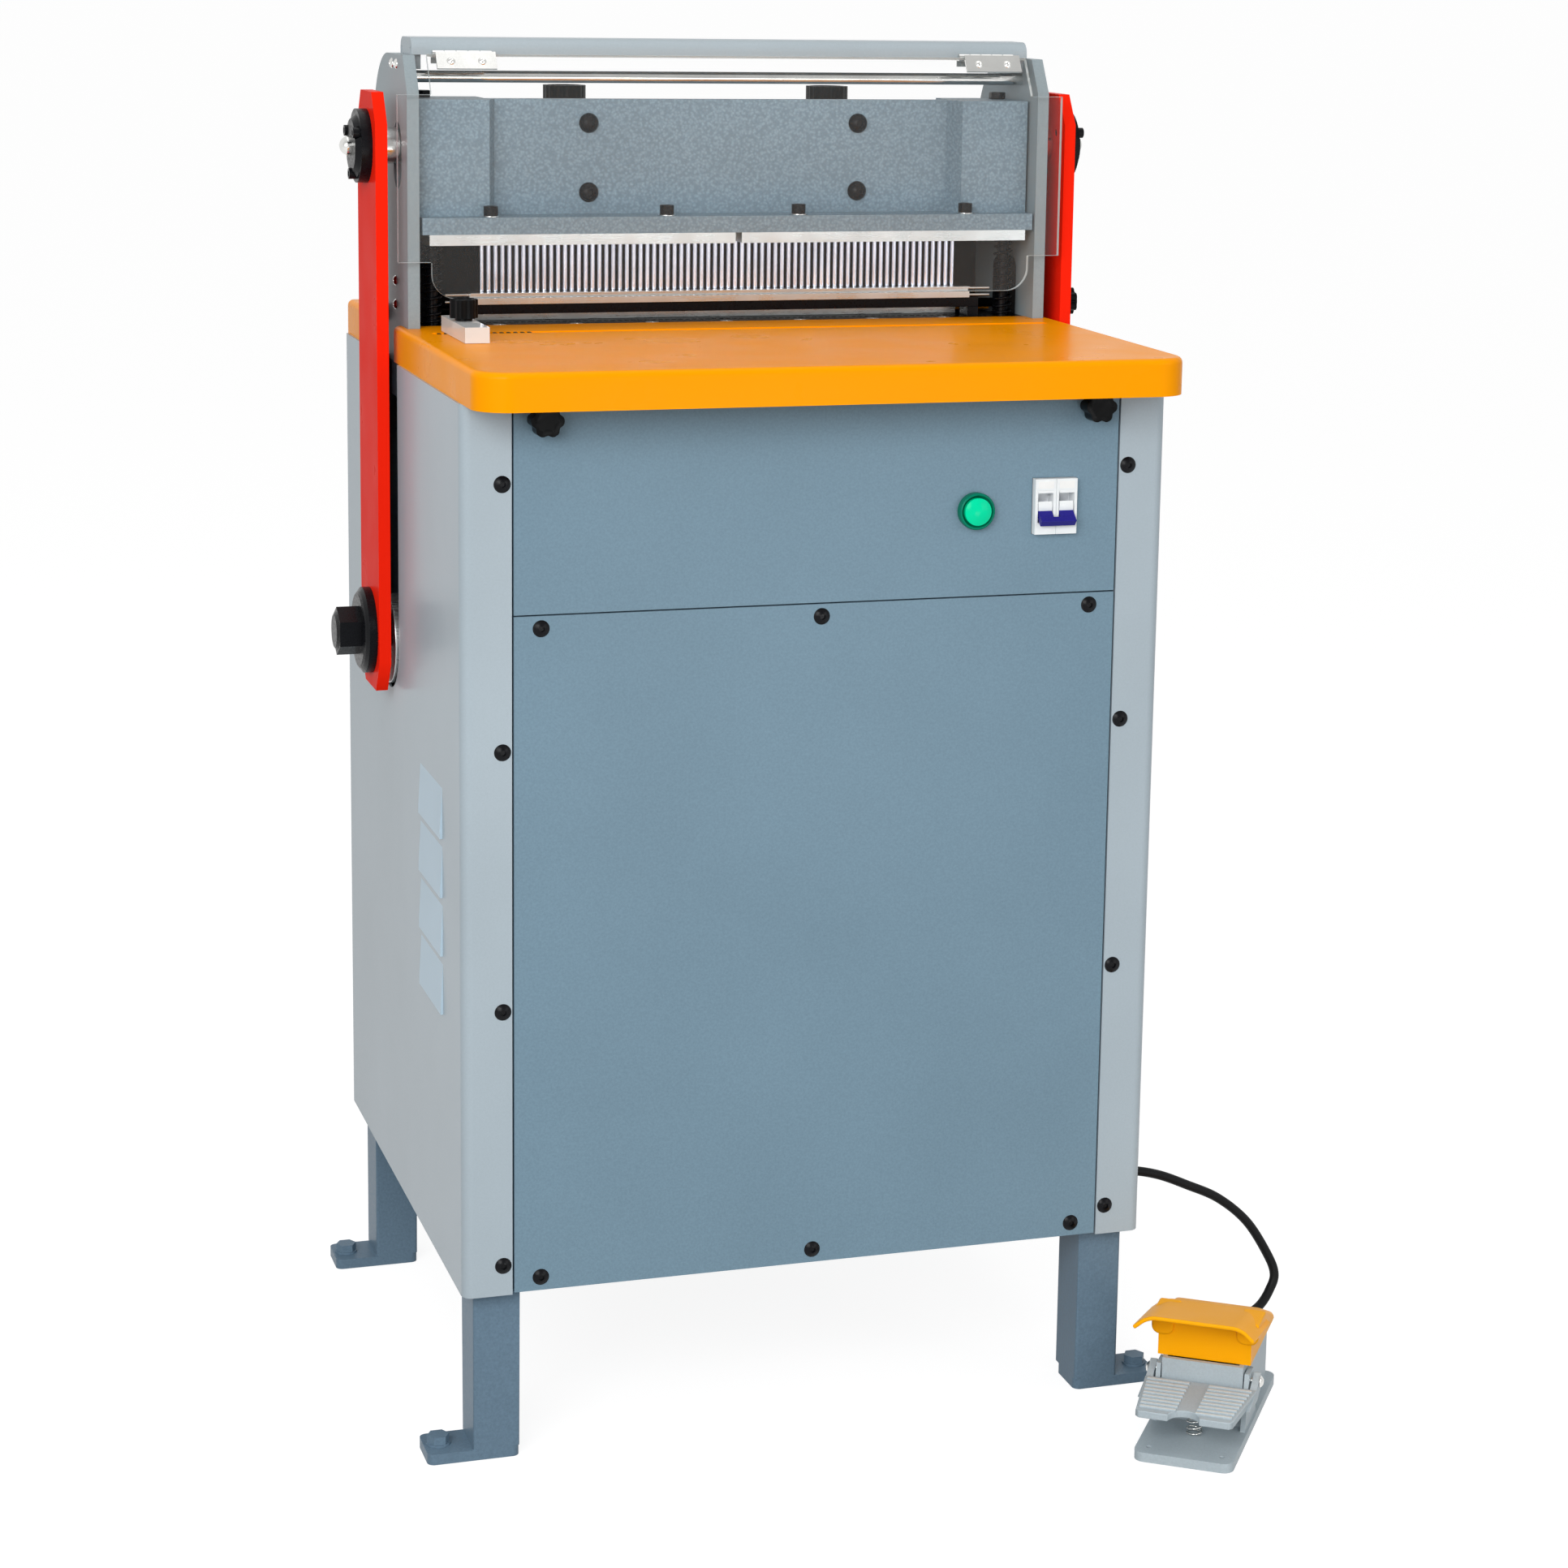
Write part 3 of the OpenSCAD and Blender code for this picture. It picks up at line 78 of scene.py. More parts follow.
def linear(code):
    """Linear RGB of an sRGB hex code."""
    values = [int(code[i:i + 2], 16) / 255 for i in (1, 3, 5)]
    return [v / 12.92 if v <= 0.04045 else ((v + 0.055) / 1.055) ** 2.4 for v in values]


def tint(name, description, code):
    """A colour setting."""
    return bpy.props.FloatVectorProperty(
        name=name, description=description, subtype="COLOR", size=3, min=0, max=1, default=linear(code))


def length(name, description, value):
    """A length setting in millimetres, the unit that Blender shows camera lengths in."""
    return bpy.props.FloatProperty(
        name=name, description=description, default=value, min=0.05, max=500, precision=2, unit="CAMERA")


class PunchColours(bpy.types.PropertyGroup):
    """Colours of the finishes."""
    side_panel: tint("Side panels", "Light grey powder coat", "#a9b6be")
    front_panel: tint("Front panels", "Blue-grey textured powder coat", "#758f9f")
    leg: tint("Frame", "Blue-grey enamel on the welded frame", "#677e90")
    top_cover: tint("Top cover", "Pale grey paint", "#abb6bc")
    casting: tint("Castings", "Hammertone grey of the beam", "#899eab")
    plate: tint("Head plates", "Smooth grey paint", "#96a2a7")
    orange: tint("Table", "Orange enamel", "#ff9e00")
    red: tint("Links", "Red enamel", "#fb2610")
    yellow: tint("Foot switch hood", "Yellow-orange enamel", "#ffae0a")
    alloy: tint("Foot switch", "Light grey cast alloy", "#b2bec4")
    lens: tint("Lamp lens", "Translucent green plastic", "#00d79e")
    bezel: tint("Lamp bezel", "Dark green plastic", "#067c62")
    breaker: tint("Breaker", "White moulded plastic", "#eef2f3")
    toggle: tint("Breaker toggle", "Blue moulded plastic", "#2d2a8a")


class PunchSizes(bpy.types.PropertyGroup):
    """Sizes that belong to the looks alone, in millimetres."""
    deck_corner: length("Table corner", "Plan radius of the table's front corners", 28)
    deck_edge: length("Table edge", "Radius of the table's rolled upper edge", 5)
    cover_corner: length("Rear cover corner", "Plan radius of the rear cover's corners", 7)
    sheet_edge: length("Sheet edge", "Rounding on cut sheet edges", 0.5)
    cast_edge: length("Casting edge", "Rounding on the cast beam", 2.5)
    tick_pitch: length("Scale pitch", "Spacing of the marks in the table's groove", 5.8)
    cord: length("Cord", "Diameter of the foot switch cord", 8)


# Modelling helpers

def clear_selection():
    """Object mode with nothing selected."""
    if bpy.context.mode != "OBJECT":
        bpy.ops.object.mode_set(mode="OBJECT")
    bpy.ops.object.select_all(action="DESELECT")


def make_active(piece):
    """Only this piece selected."""
    clear_selection()
    piece.select_set(True)
    bpy.context.view_layer.objects.active = piece
    return piece


def edit_all(piece):
    """Edit mode with the whole piece selected."""
    make_active(piece)
    bpy.ops.object.mode_set(mode="EDIT")
    bpy.ops.mesh.select_all(action="SELECT")


def leave_edit():
    """Back to object mode."""
    bpy.ops.object.mode_set(mode="OBJECT")


def extent(node):
    """Lowest and highest corner of a solid."""
    low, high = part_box(node)
    return low / MM, high / MM


def middle_of(node):
    """Centre of a solid's box."""
    low, high = extent(node)
    return (low + high) / 2


def block(low, high):
    """A box between two corners."""
    clear_selection()
    centre = [(a + b) / 2 * MM for a, b in zip(low, high)]
    size = [(b - a) * MM for a, b in zip(low, high)]
    bpy.ops.mesh.primitive_cube_add(size=1, location=centre, scale=size)
    bpy.ops.object.transform_apply(location=True, rotation=True, scale=True)
    return bpy.context.object


def rod(start, end, diameter, sides=40):
    """A round bar between two points."""
    a, b = Vector(start) * MM, Vector(end) * MM
    clear_selection()
    bpy.ops.mesh.primitive_cylinder_add(
        vertices=sides, radius=diameter / 2 * MM, depth=(b - a).length, location=(a + b) / 2,
        rotation=(b - a).to_track_quat("Z", "Y").to_euler())
    bpy.ops.object.transform_apply(location=True, rotation=True, scale=True)
    return bpy.context.object


def ball_cap(radius, top, foot, segments, rings):
    """The part of a ball above a height, with its top at another."""
    clear_selection()
    bpy.ops.mesh.primitive_uv_sphere_add(
        segments=segments, ring_count=rings, radius=radius * MM, location=(0, 0, (top - radius) * MM))
    bpy.ops.object.transform_apply(location=True, rotation=True, scale=True)
    cap = bpy.context.object
    edit_all(cap)
    bpy.ops.mesh.bisect(plane_co=(0, 0, foot * MM), plane_no=(0, 0, 1), use_fill=True, clear_inner=True)
    leave_edit()
    return cap


def prism(outline, low, high):
    """A flat shape with an outline of (x, y) points, between two heights."""
    clear_selection()
    bpy.ops.mesh.primitive_circle_add(vertices=len(outline), radius=MM, fill_type="NGON")
    piece = bpy.context.object
    for vertex, (x, y) in zip(piece.data.vertices, outline):
        vertex.co = Vector((x, y, low)) * MM
    edit_all(piece)
    bpy.ops.mesh.extrude_region_move(TRANSFORM_OT_translate={"value": (0, 0, (high - low) * MM)})
    bpy.ops.mesh.select_all(action="SELECT")
    bpy.ops.mesh.normals_make_consistent(inside=False)
    leave_edit()
    return piece


def choose(piece, kind, test):
    """Edit mode with the edges or faces selected whose middle and direction pass the test."""
    make_active(piece)
    bpy.ops.object.mode_set(mode="EDIT")
    bpy.ops.mesh.select_mode(type=kind)
    bpy.ops.mesh.select_all(action="DESELECT")
    mesh = bmesh.from_edit_mesh(piece.data)
    for part in mesh.edges if kind == "EDGE" else mesh.faces:
        if kind == "EDGE":
            a, b = (v.co for v in part.verts)
            place, along = (a + b) / 2, (b - a).normalized()
        else:
            place, along = part.calc_center_median(), part.normal
        if test(place / MM, along):
            part.select_set(True)
    bmesh.update_edit_mesh(piece.data)


def round_edges(piece, radius, segments, test, clamp=True):
    """Rolls the chosen edges over."""
    choose(piece, "EDGE", test)
    bpy.ops.mesh.bevel(offset=radius * MM, segments=segments, affect="EDGES", clamp_overlap=clamp)
    leave_edit()


def sharp_rims(piece, radius, segments=2, angle=40):
    """Rounds every edge sharper than the angle with a bevel modifier."""
    make_active(piece)
    bevel = piece.modifiers.new("rims", "BEVEL")
    bevel.width = radius * MM
    bevel.segments = segments
    bevel.limit_method = "ANGLE"
    bevel.angle_limit = math.radians(angle)
    bevel.miter_outer = "MITER_ARC"
    bpy.ops.object.modifier_apply(modifier=bevel.name)


def cut(piece, *cutters):
    """Takes the cutters' shapes out of a piece."""
    for cutter in cutters:
        make_active(piece)
        tool = piece.modifiers.new("cut", "BOOLEAN")
        tool.object = cutter
        tool.operation = "DIFFERENCE"
        tool.solver = "EXACT"
        bpy.ops.object.modifier_apply(modifier=tool.name)
        bpy.data.objects.remove(cutter)
    return piece


def thicken(piece, wall):
    """Gives a folded skin its wall, inwards."""
    make_active(piece)
    skin = piece.modifiers.new("wall", "SOLIDIFY")
    skin.thickness = wall * MM
    skin.offset = -1
    bpy.ops.object.modifier_apply(modifier=skin.name)


def smooth(piece, angle=38):
    """Smooth shading that keeps crisp edges crisp and flat faces flat."""
    make_active(piece)
    bpy.ops.object.shade_smooth_by_angle(angle=math.radians(angle))
    even = piece.modifiers.new("even normals", "WEIGHTED_NORMAL")
    even.keep_sharp = True
    even.weight = 100
    bpy.ops.object.modifier_apply(modifier=even.name)
    return piece


def join(pieces):
    """One piece from several."""
    clear_selection()
    for piece in pieces:
        piece.select_set(True)
    bpy.context.view_layer.objects.active = pieces[0]
    if len(pieces) > 1:
        bpy.ops.object.join()
    return pieces[0]


def copy_to(model, place):
    """A copy of a model with its own mesh, at a place."""
    copy = model.copy()
    copy.data = model.data.copy()
    bpy.context.scene.collection.objects.link(copy)
    copy.data.transform(place)
    return copy


def repeat(model, places):
    """Copies of a model, joined at their places."""
    copies = [copy_to(model, place) for place in places]
    bpy.data.objects.remove(model)
    return join(copies)


def left_and_right(offset, middle=0):
    """Two places to the left and right of a middle."""
    return [Matrix.Translation(((middle + s * offset) * MM, 0, 0)) for s in (-1, 1)]


# Stands a flat shape on edge: its X runs back, its Y runs up and its thickness runs across
ON_EDGE = Matrix(((0, 0, 1, 0), (1, 0, 0, 0), (0, 1, 0, 0), (0, 0, 0, 1)))


def facing(point, direction):
    """The place of a model whose +Z is turned to a direction."""
    turn = Vector(direction).to_track_quat("Z", "Y").to_matrix().to_4x4()
    return Matrix.Translation(Vector(point) * MM) @ turn


def settle(piece, name, finish, *nodes, body=None, slot=None):
    """Names and paints a finished piece, and puts it in the place of its solids."""
    piece.name = piece.data.name = name
    piece.data.materials.clear()
    piece.data.materials.append(LOOK[finish])
    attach(piece, body or BODY[nodes[0]])
    if nodes:
        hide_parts(*nodes)
    return piece


def repaint(piece, finish, test):
    """Gives a second finish to the faces whose middle and normal pass the test."""
    piece.data.materials.append(LOOK[finish])
    for face in piece.data.polygons:
        if test(face.center / MM, face.normal):
            face.material_index = 1


def solid_copy(node, whole_faces=True):
    """A solid's own mesh as a new piece, joined up, and with whole flat faces where these have no windows."""
    piece = bpy.data.objects.new(node + "_copy", NODES[node].data.copy())
    bpy.context.scene.collection.objects.link(piece)
    piece.data.materials.clear()
    edit_all(piece)
    bpy.ops.mesh.remove_doubles(threshold=MERGE * MM)
    if whole_faces:
        bpy.ops.mesh.dissolve_limited(angle_limit=FLAT)
    leave_edit()
    # The solids bring stored normals along, and those would hide crisp edges
    bpy.ops.mesh.customdata_custom_splitnormals_clear()
    return piece


def soften(finish, radius, segments, *nodes, whole_faces=True):
    """Pieces with a solid's own shape and the edge rounding that its making gives, if any."""
    made = []
    for node in nodes:
        piece = solid_copy(node, whole_faces)
        if radius:
            sharp_rims(piece, radius, segments)
        smooth(piece)
        made.append(settle(piece, node + "_finish", finish, node))
    return made


def tube(points, diameter, around=12):
    """A round tube along a line of points in metres."""
    line = bpy.data.curves.new("centreline", "CURVE")
    line.dimensions = "3D"
    line.bevel_depth = diameter / 2 * MM
    line.bevel_resolution = around // 4
    line.use_fill_caps = True
    spline = line.splines.new("POLY")
    spline.points.add(len(points) - 1)
    for knot, place in zip(spline.points, points):
        knot.co = (*place, 1)
    holder = bpy.data.objects.new("tube", line)
    bpy.context.scene.collection.objects.link(holder)
    make_active(holder)
    bpy.ops.object.convert(target="MESH")
    return smooth(bpy.context.object, 60)


def smooth_route(knots, steps):
    """Points on a smooth curve through chosen knots."""
    route = []
    last = len(knots) - 1
    for i in range(last):
        a, b, c, d = (Vector(knots[k]) for k in (max(i - 1, 0), i, i + 1, min(i + 2, last)))
        for k in range(steps + (i == last - 1)):
            t = k / steps
            route.append(0.5 * (2 * b + (c - a) * t + (2 * a - 5 * b + 4 * c - d) * t ** 2
                                + (3 * b - a - 3 * c + d) * t ** 3))
    return route


# Finishes

def add(tree, kind, settings=(), links=()):
    """Adds a node, sets its values and links its inputs."""
    node = tree.nodes.new(kind)
    for key, value in dict(settings).items():
        if isinstance(key, str) and hasattr(node, key):
            setattr(node, key, value)
        else:
            node.inputs[key].default_value = value
    for key, source in dict(links).items():
        tree.links.new(source, node.inputs[key])
    return node


def start_finish(name):
    """Begins a material, and gives its node tree and its object coordinates."""
    material = bpy.data.materials.new(name)
    material.use_nodes = True
    tree = material.node_tree
    tree.nodes.clear()
    place = add(tree, "ShaderNodeTexCoord").outputs["Object"]
    LOOK[name] = material
    return tree, place


def end_finish(tree, settings, links):
    """The shader and the output of a material."""
    shader = add(tree, "ShaderNodeBsdfPrincipled", settings, links)
    add(tree, "ShaderNodeOutputMaterial", {}, {"Surface": shader.outputs[0]})


def drifting_colour(tree, place, colour, size, spread):
    """A colour whose brightness drifts a little over patches of a size."""
    drift = add(tree, "ShaderNodeTexNoise", {"Scale": 1 / (size * MM), "Detail": 3.0}, {"Vector": place})
    level = add(tree, "ShaderNodeMapRange",
                {"From Min": 0.3, "From Max": 0.7, "To Min": 1 - spread, "To Max": 1 + spread},
                {"Value": drift.outputs[0]})
    shade = add(tree, "ShaderNodeHueSaturation", {"Color": (*colour, 1)}, {"Value": level.outputs[0]})
    return shade.outputs[0]


def powder_coat(name, colour, grain, depth, roughness, speckle, coat=0.05):
    """Baked powder coat: a fine rounded grain that breaks the highlight up and speckles the colour."""
    tree, place = start_finish(name)
    grit = add(tree, "ShaderNodeTexNoise", {"Scale": 1 / (grain * MM), "Detail": 2.0, "Roughness": 0.6},
               {"Vector": place})
    gloss = add(tree, "ShaderNodeMapRange",
                {"From Min": 0.3, "From Max": 0.7, "To Min": roughness - 0.07, "To Max": roughness + 0.07},
                {"Value": grit.outputs[0]})
    level = add(tree, "ShaderNodeMapRange",
                {"From Min": 0.3, "From Max": 0.7, "To Min": 1 - speckle, "To Max": 1 + speckle},
                {"Value": grit.outputs[0]})
    shade = add(tree, "ShaderNodeHueSaturation", {},
                {"Color": drifting_colour(tree, place, colour, 160, 0.035), "Value": level.outputs[0]})
    bump = add(tree, "ShaderNodeBump", {"Strength": 0.6, "Distance": depth * MM}, {"Height": grit.outputs[0]})
    end_finish(tree, {"Specular IOR Level": 0.08, "Coat Weight": coat, "Coat Roughness": 0.2},
               {"Base Color": shade.outputs[0], "Roughness": gloss.outputs[0], "Normal": bump.outputs[0]})


def enamel(name, colour, roughness, shine):
    """Stoved gloss enamel: saturated colour under a clear, slightly wavy skin."""
    tree, place = start_finish(name)
    # Orange peel of about 4 mm, shallow
    peel = add(tree, "ShaderNodeTexNoise", {"Scale": 1 / (4 * MM), "Detail": 1.0}, {"Vector": place})
    haze = add(tree, "ShaderNodeTexNoise", {"Scale": 1 / (60 * MM), "Detail": 4.0}, {"Vector": place})
    gloss = add(tree, "ShaderNodeMapRange",
                {"From Min": 0.3, "From Max": 0.7, "To Min": roughness - 0.04, "To Max": roughness + 0.06},
                {"Value": haze.outputs[0]})
    bump = add(tree, "ShaderNodeBump", {"Strength": 0.1, "Distance": 0.01 * MM}, {"Height": peel.outputs[0]})
    end_finish(tree, {"Specular IOR Level": shine, "Coat Weight": shine, "Coat Roughness": 0.12},
               {"Base Color": drifting_colour(tree, place, colour, 220, 0.02), "Roughness": gloss.outputs[0],
                "Normal": bump.outputs[0]})


def hammertone(name, colour):
    """Hammer-finish paint on a casting: pale dimples of about 2.4 mm with darker rims over a sandy skin."""
    tree, place = start_finish(name)
    dimple = add(tree, "ShaderNodeTexVoronoi",
                 {"Scale": 1 / (2.4 * MM), "feature": "SMOOTH_F1", "Smoothness": 0.6}, {"Vector": place})
    sand = add(tree, "ShaderNodeTexNoise", {"Scale": 1 / (1.3 * MM), "Detail": 3.0}, {"Vector": place})
    skin = add(tree, "ShaderNodeMath", {"operation": "MULTIPLY_ADD", 1: 0.7},
               {0: sand.outputs[0], 2: dimple.outputs["Distance"]})
    level = add(tree, "ShaderNodeMapRange",
                {"From Min": 0.35, "From Max": 1.0, "To Min": 1.17, "To Max": 0.8},
                {"Value": skin.outputs[0]})
    shade = add(tree, "ShaderNodeHueSaturation", {},
                {"Color": drifting_colour(tree, place, colour, 120, 0.05), "Value": level.outputs[0]})
    gloss = add(tree, "ShaderNodeMapRange", {"From Min": 0.3, "From Max": 1.0, "To Min": 0.28, "To Max": 0.5},
                {"Value": skin.outputs[0]})
    bump = add(tree, "ShaderNodeBump", {"Strength": 0.55, "Distance": 0.5 * MM}, {"Height": skin.outputs[0]})
    end_finish(tree, {"Metallic": 0.1, "Specular IOR Level": 0.2},
               {"Base Color": shade.outputs[0], "Roughness": gloss.outputs[0], "Normal": bump.outputs[0]})


def bright_metal(name, code, roughness, stretch, grain):
    """Plated or ground steel: fine lines along the grinding direction and a little smearing."""
    tree, place = start_finish(name)
    turned = add(tree, "ShaderNodeMapping", {"Scale": stretch}, {"Vector": place})
    line = add(tree, "ShaderNodeTexNoise", {"Scale": 1 / (grain * MM), "Detail": 3.0},
               {"Vector": turned.outputs[0]})
    smear = add(tree, "ShaderNodeTexNoise", {"Scale": 1 / (25 * MM), "Detail": 2.0}, {"Vector": place})
    both = add(tree, "ShaderNodeMath", {"operation": "MULTIPLY"}, {0: line.outputs[0], 1: smear.outputs[0]})
    gloss = add(tree, "ShaderNodeMapRange",
                {"From Min": 0.1, "From Max": 0.45, "To Min": roughness * 0.7, "To Max": roughness * 1.4},
                {"Value": both.outputs[0]})
    bump = add(tree, "ShaderNodeBump", {"Strength": 0.2, "Distance": 0.05 * MM}, {"Height": line.outputs[0]})
    end_finish(tree, {"Metallic": 1.0},
               {"Base Color": drifting_colour(tree, place, linear(code), 30, 0.08),
                "Roughness": gloss.outputs[0], "Normal": bump.outputs[0]})


def black_oxide(name, code, roughness):
    """Oil-blackened steel: dark, satin, faintly mottled."""
    tree, place = start_finish(name)
    mottle = add(tree, "ShaderNodeTexNoise", {"Scale": 1 / (2.5 * MM), "Detail": 4.0}, {"Vector": place})
    gloss = add(tree, "ShaderNodeMapRange",
                {"From Min": 0.3, "From Max": 0.7, "To Min": roughness - 0.08, "To Max": roughness + 0.1},
                {"Value": mottle.outputs[0]})
    bump = add(tree, "ShaderNodeBump", {"Strength": 0.1, "Distance": 0.02 * MM},
               {"Height": mottle.outputs[0]})
    end_finish(tree, {"Specular IOR Level": 0.14},
               {"Base Color": drifting_colour(tree, place, linear(code), 8, 0.2),
                "Roughness": gloss.outputs[0], "Normal": bump.outputs[0]})


def moulded_plastic(name, colour, roughness, grain, glow=0.0):
    """Injection-moulded plastic: even colour with the fine spark-eroded grain of the mould."""
    tree, place = start_finish(name)
    grit = add(tree, "ShaderNodeTexNoise", {"Scale": 1 / (grain * MM), "Detail": 2.0}, {"Vector": place})
    gloss = add(tree, "ShaderNodeMapRange",
                {"From Min": 0.3, "From Max": 0.7, "To Min": roughness - 0.05, "To Max": roughness + 0.05},
                {"Value": grit.outputs[0]})
    bump = add(tree, "ShaderNodeBump", {"Strength": 0.2, "Distance": 0.08 * MM}, {"Height": grit.outputs[0]})
    end_finish(tree, {"IOR": 1.5, "Specular IOR Level": 0.08, "Emission Color": (*colour, 1),
                      "Emission Strength": glow},
               {"Base Color": drifting_colour(tree, place, colour, 14, 0.04), "Roughness": gloss.outputs[0],
                "Normal": bump.outputs[0]})


def clear_acrylic(name, code, facing_alpha, rim_alpha):
    """Cast acrylic: clear when looked through, brighter at a slant, with faint wipe marks."""
    tree, place = start_finish(name)
    slant = add(tree, "ShaderNodeLayerWeight", {"Blend": 0.35})
    seen = add(tree, "ShaderNodeMapRange",
               {"From Min": 0.0, "From Max": 1.0, "To Min": facing_alpha, "To Max": rim_alpha},
               {"Value": slant.outputs["Fresnel"]})
    wiped = add(tree, "ShaderNodeMapping", {"Scale": (1.0, 1.0, 6.0), "Rotation": (0.0, 0.35, 0.0)},
                {"Vector": place})
    wipe = add(tree, "ShaderNodeTexNoise", {"Scale": 1 / (9 * MM), "Detail": 5.0},
               {"Vector": wiped.outputs[0]})
    gloss = add(tree, "ShaderNodeMapRange",
                {"From Min": 0.4, "From Max": 0.7, "To Min": 0.03, "To Max": 0.12},
                {"Value": wipe.outputs[0]})
    end_finish(tree, {"IOR": 1.49, "Specular IOR Level": 0.8},
               {"Base Color": drifting_colour(tree, place, linear(code), 80, 0.03), "Alpha": seen.outputs[0],
                "Roughness": gloss.outputs[0]})
    LOOK[name].surface_render_method = "BLENDED"


def cord_jacket(name, code):
    """Black rubber cord jacket: dull, with a fine drawn grain."""
    tree, place = start_finish(name)
    grain = add(tree, "ShaderNodeTexNoise", {"Scale": 1 / (1.2 * MM), "Detail": 3.0}, {"Vector": place})
    gloss = add(tree, "ShaderNodeMapRange", {"From Min": 0.3, "From Max": 0.7, "To Min": 0.42, "To Max": 0.6},
                {"Value": grain.outputs[0]})
    bump = add(tree, "ShaderNodeBump", {"Strength": 0.25, "Distance": 0.08 * MM},
               {"Height": grain.outputs[0]})
    end_finish(tree, {"IOR": 1.52, "Specular IOR Level": 0.15},
               {"Base Color": drifting_colour(tree, place, linear(code), 20, 0.15),
                "Roughness": gloss.outputs[0], "Normal": bump.outputs[0]})


class PUNCH_OT_finishes(bpy.types.Operator):
    """Mix every paint, plating and plastic of the machine"""
    bl_idname = "punch.finishes"
    bl_label = "Finishes"

    def execute(self, context):
        ink = context.scene.punch_colours
        # After the colour: grain and its depth in millimetres, roughness, speckle and, once, clear coat
        powder_coat("side powder coat", ink.side_panel, 1.6, 0.02, 0.38, 0.025, 0.25)
        # Lighter, bluer copy of the side coat for the louvres: a painted highlight, not a paint of their own
        powder_coat("louvre painted highlight coat", linear("#bdd2e0"), 1.6, 0.02, 0.38, 0.02)
        powder_coat("front powder coat", ink.front_panel, 1.8, 0.14, 0.46, 0.07)
        powder_coat("frame enamel", ink.leg, 2.4, 0.22, 0.4, 0.08)
        powder_coat("cover paint", ink.top_cover, 1.8, 0.05, 0.36, 0.02)
        powder_coat("plate paint", ink.plate, 1.8, 0.08, 0.4, 0.04)
        powder_coat("motor paint", linear("#3d5a76"), 2.0, 0.1, 0.4, 0.04)
        hammertone("hammertone", ink.casting)
        hammertone("cast iron", linear("#565d62"))
        # After the colour: roughness and shine
        enamel("orange enamel", ink.orange, 0.3, 0.03)
        enamel("red enamel", ink.red, 0.3, 0.004)
        enamel("yellow enamel", ink.yellow, 0.36, 0.04)
        # After the colour: roughness, how far the grinding lines are drawn out, and their spacing
        bright_metal("bright plate", "#d9d9d6", 0.16, (1.0, 1.0, 1.0), 1.2)
        bright_metal("ground steel", "#d2d6d6", 0.3, (0.04, 1.0, 1.0), 1.0)
        bright_metal("drawn steel", "#dfe2ee", 0.18, (1.0, 1.0, 0.05), 1.0)
        bright_metal("clutch copper", "#a97a4d", 0.35, (1.0, 0.2, 0.2), 1.5)
        black_oxide("black oxide", "#0a0b0f", 0.3)
        black_oxide("black paint", "#131416", 0.46)
        # After the colour: roughness, grain and, for the lit lens, glow
        moulded_plastic("black plastic", linear("#08090a"), 0.32, 0.9)
        moulded_plastic("lamp bezel plastic", ink.bezel, 0.22, 1.2)
        moulded_plastic("lamp lens plastic", ink.lens, 0.16, 3.0, 0.1)
        moulded_plastic("breaker plastic", ink.breaker, 0.4, 0.8)
        moulded_plastic("breaker label", linear("#f3f4f2"), 0.55, 0.6)
        moulded_plastic("toggle plastic", ink.toggle, 0.25, 0.9)
        moulded_plastic("scale ink", linear("#3a2c1c"), 0.5, 0.6)
        powder_coat("cast alloy", ink.alloy, 1.8, 0.12, 0.45, 0.05)
        # Paler alloy for the treadle's rib tops: a painted highlight
        powder_coat("rib top painted highlight", linear("#d3d6d3"), 1.4, 0.04, 0.35, 0.04)
        # After the colour: how dense it looks from in front and at a slant
        clear_acrylic("clear acrylic", "#eef3f3", 0.004, 0.36)
        clear_acrylic("acrylic edge", "#dfe9ea", 0.45, 0.9)
        clear_acrylic("acrylic block", "#f4f7f7", 0.78, 0.95)
        cord_jacket("cord rubber", "#0d0e0f")
        cord_jacket("belt rubber", "#1d1e20")
        return {"FINISHED"}


# Pieces

FRONT_Y = -229.0
# The cord's way from the cabinet gland to the foot switch gland, as in the part's source
PEDAL_AT = Vector((325.0, -301.0, 0.0))
PEDAL_TURN = math.radians(-35)
CORD_KNOTS = [(302, 62, 172), (313, 62, 172), (335, 62, 166), (360, 62, 155), (390, 62, 140), (418, 62, 116),
              (438, 60, 85), (444, 56, 67), (438, 52, 54), (427, 46, 44), (411, 39, 38), (399, 31, 35)]
CORD_END = [112, 98]


def on_pedal(u, v, z):
    """A point given across, along and above the foot switch."""
    turn = Matrix.Rotation(PEDAL_TURN, 4, "Z")
    return PEDAL_AT + turn @ Vector((u, v, z))


class PUNCH_OT_cord(bpy.types.Operator):
    """Lay the foot switch cord between its two glands"""
    bl_idname = "punch.cord"
    bl_label = "Foot switch cord"

    def execute(self, context):
        thick = context.scene.punch_sizes.cord
        knots = [Vector((x, y + FRONT_Y, z)) for x, y, z in CORD_KNOTS]
        knots += [on_pedal(0, v, 34) for v in CORD_END]
        route = [point * MM for point in smooth_route(knots, 10)]
        cord = settle(tube(route, thick, 20), "foot_switch_cord", "cord rubber", "pedal_cord")
        soften("black plastic", 0.5, 2, "cord_gland")
        return {"FINISHED"}


# Just outside the flat of the side panels
SHEET_OUT = 290.05
# Faces of the legs' square tubes, and the sides of the tubes to the left and right
LEG_FACES = (-215, -169, 221, 267)
LEG_SIDES = (241, 279)


def leg_corner(middle, direction):
    """Whether an edge is an upright corner of a leg, below the cabinet."""
    row = min(abs(middle.y - y) for y in LEG_FACES)
    side = min(abs(abs(middle.x) - x) for x in LEG_SIDES)
    return abs(direction.z) > 0.99 and 40 < middle.z < 120 and max(row, side) < 0.1


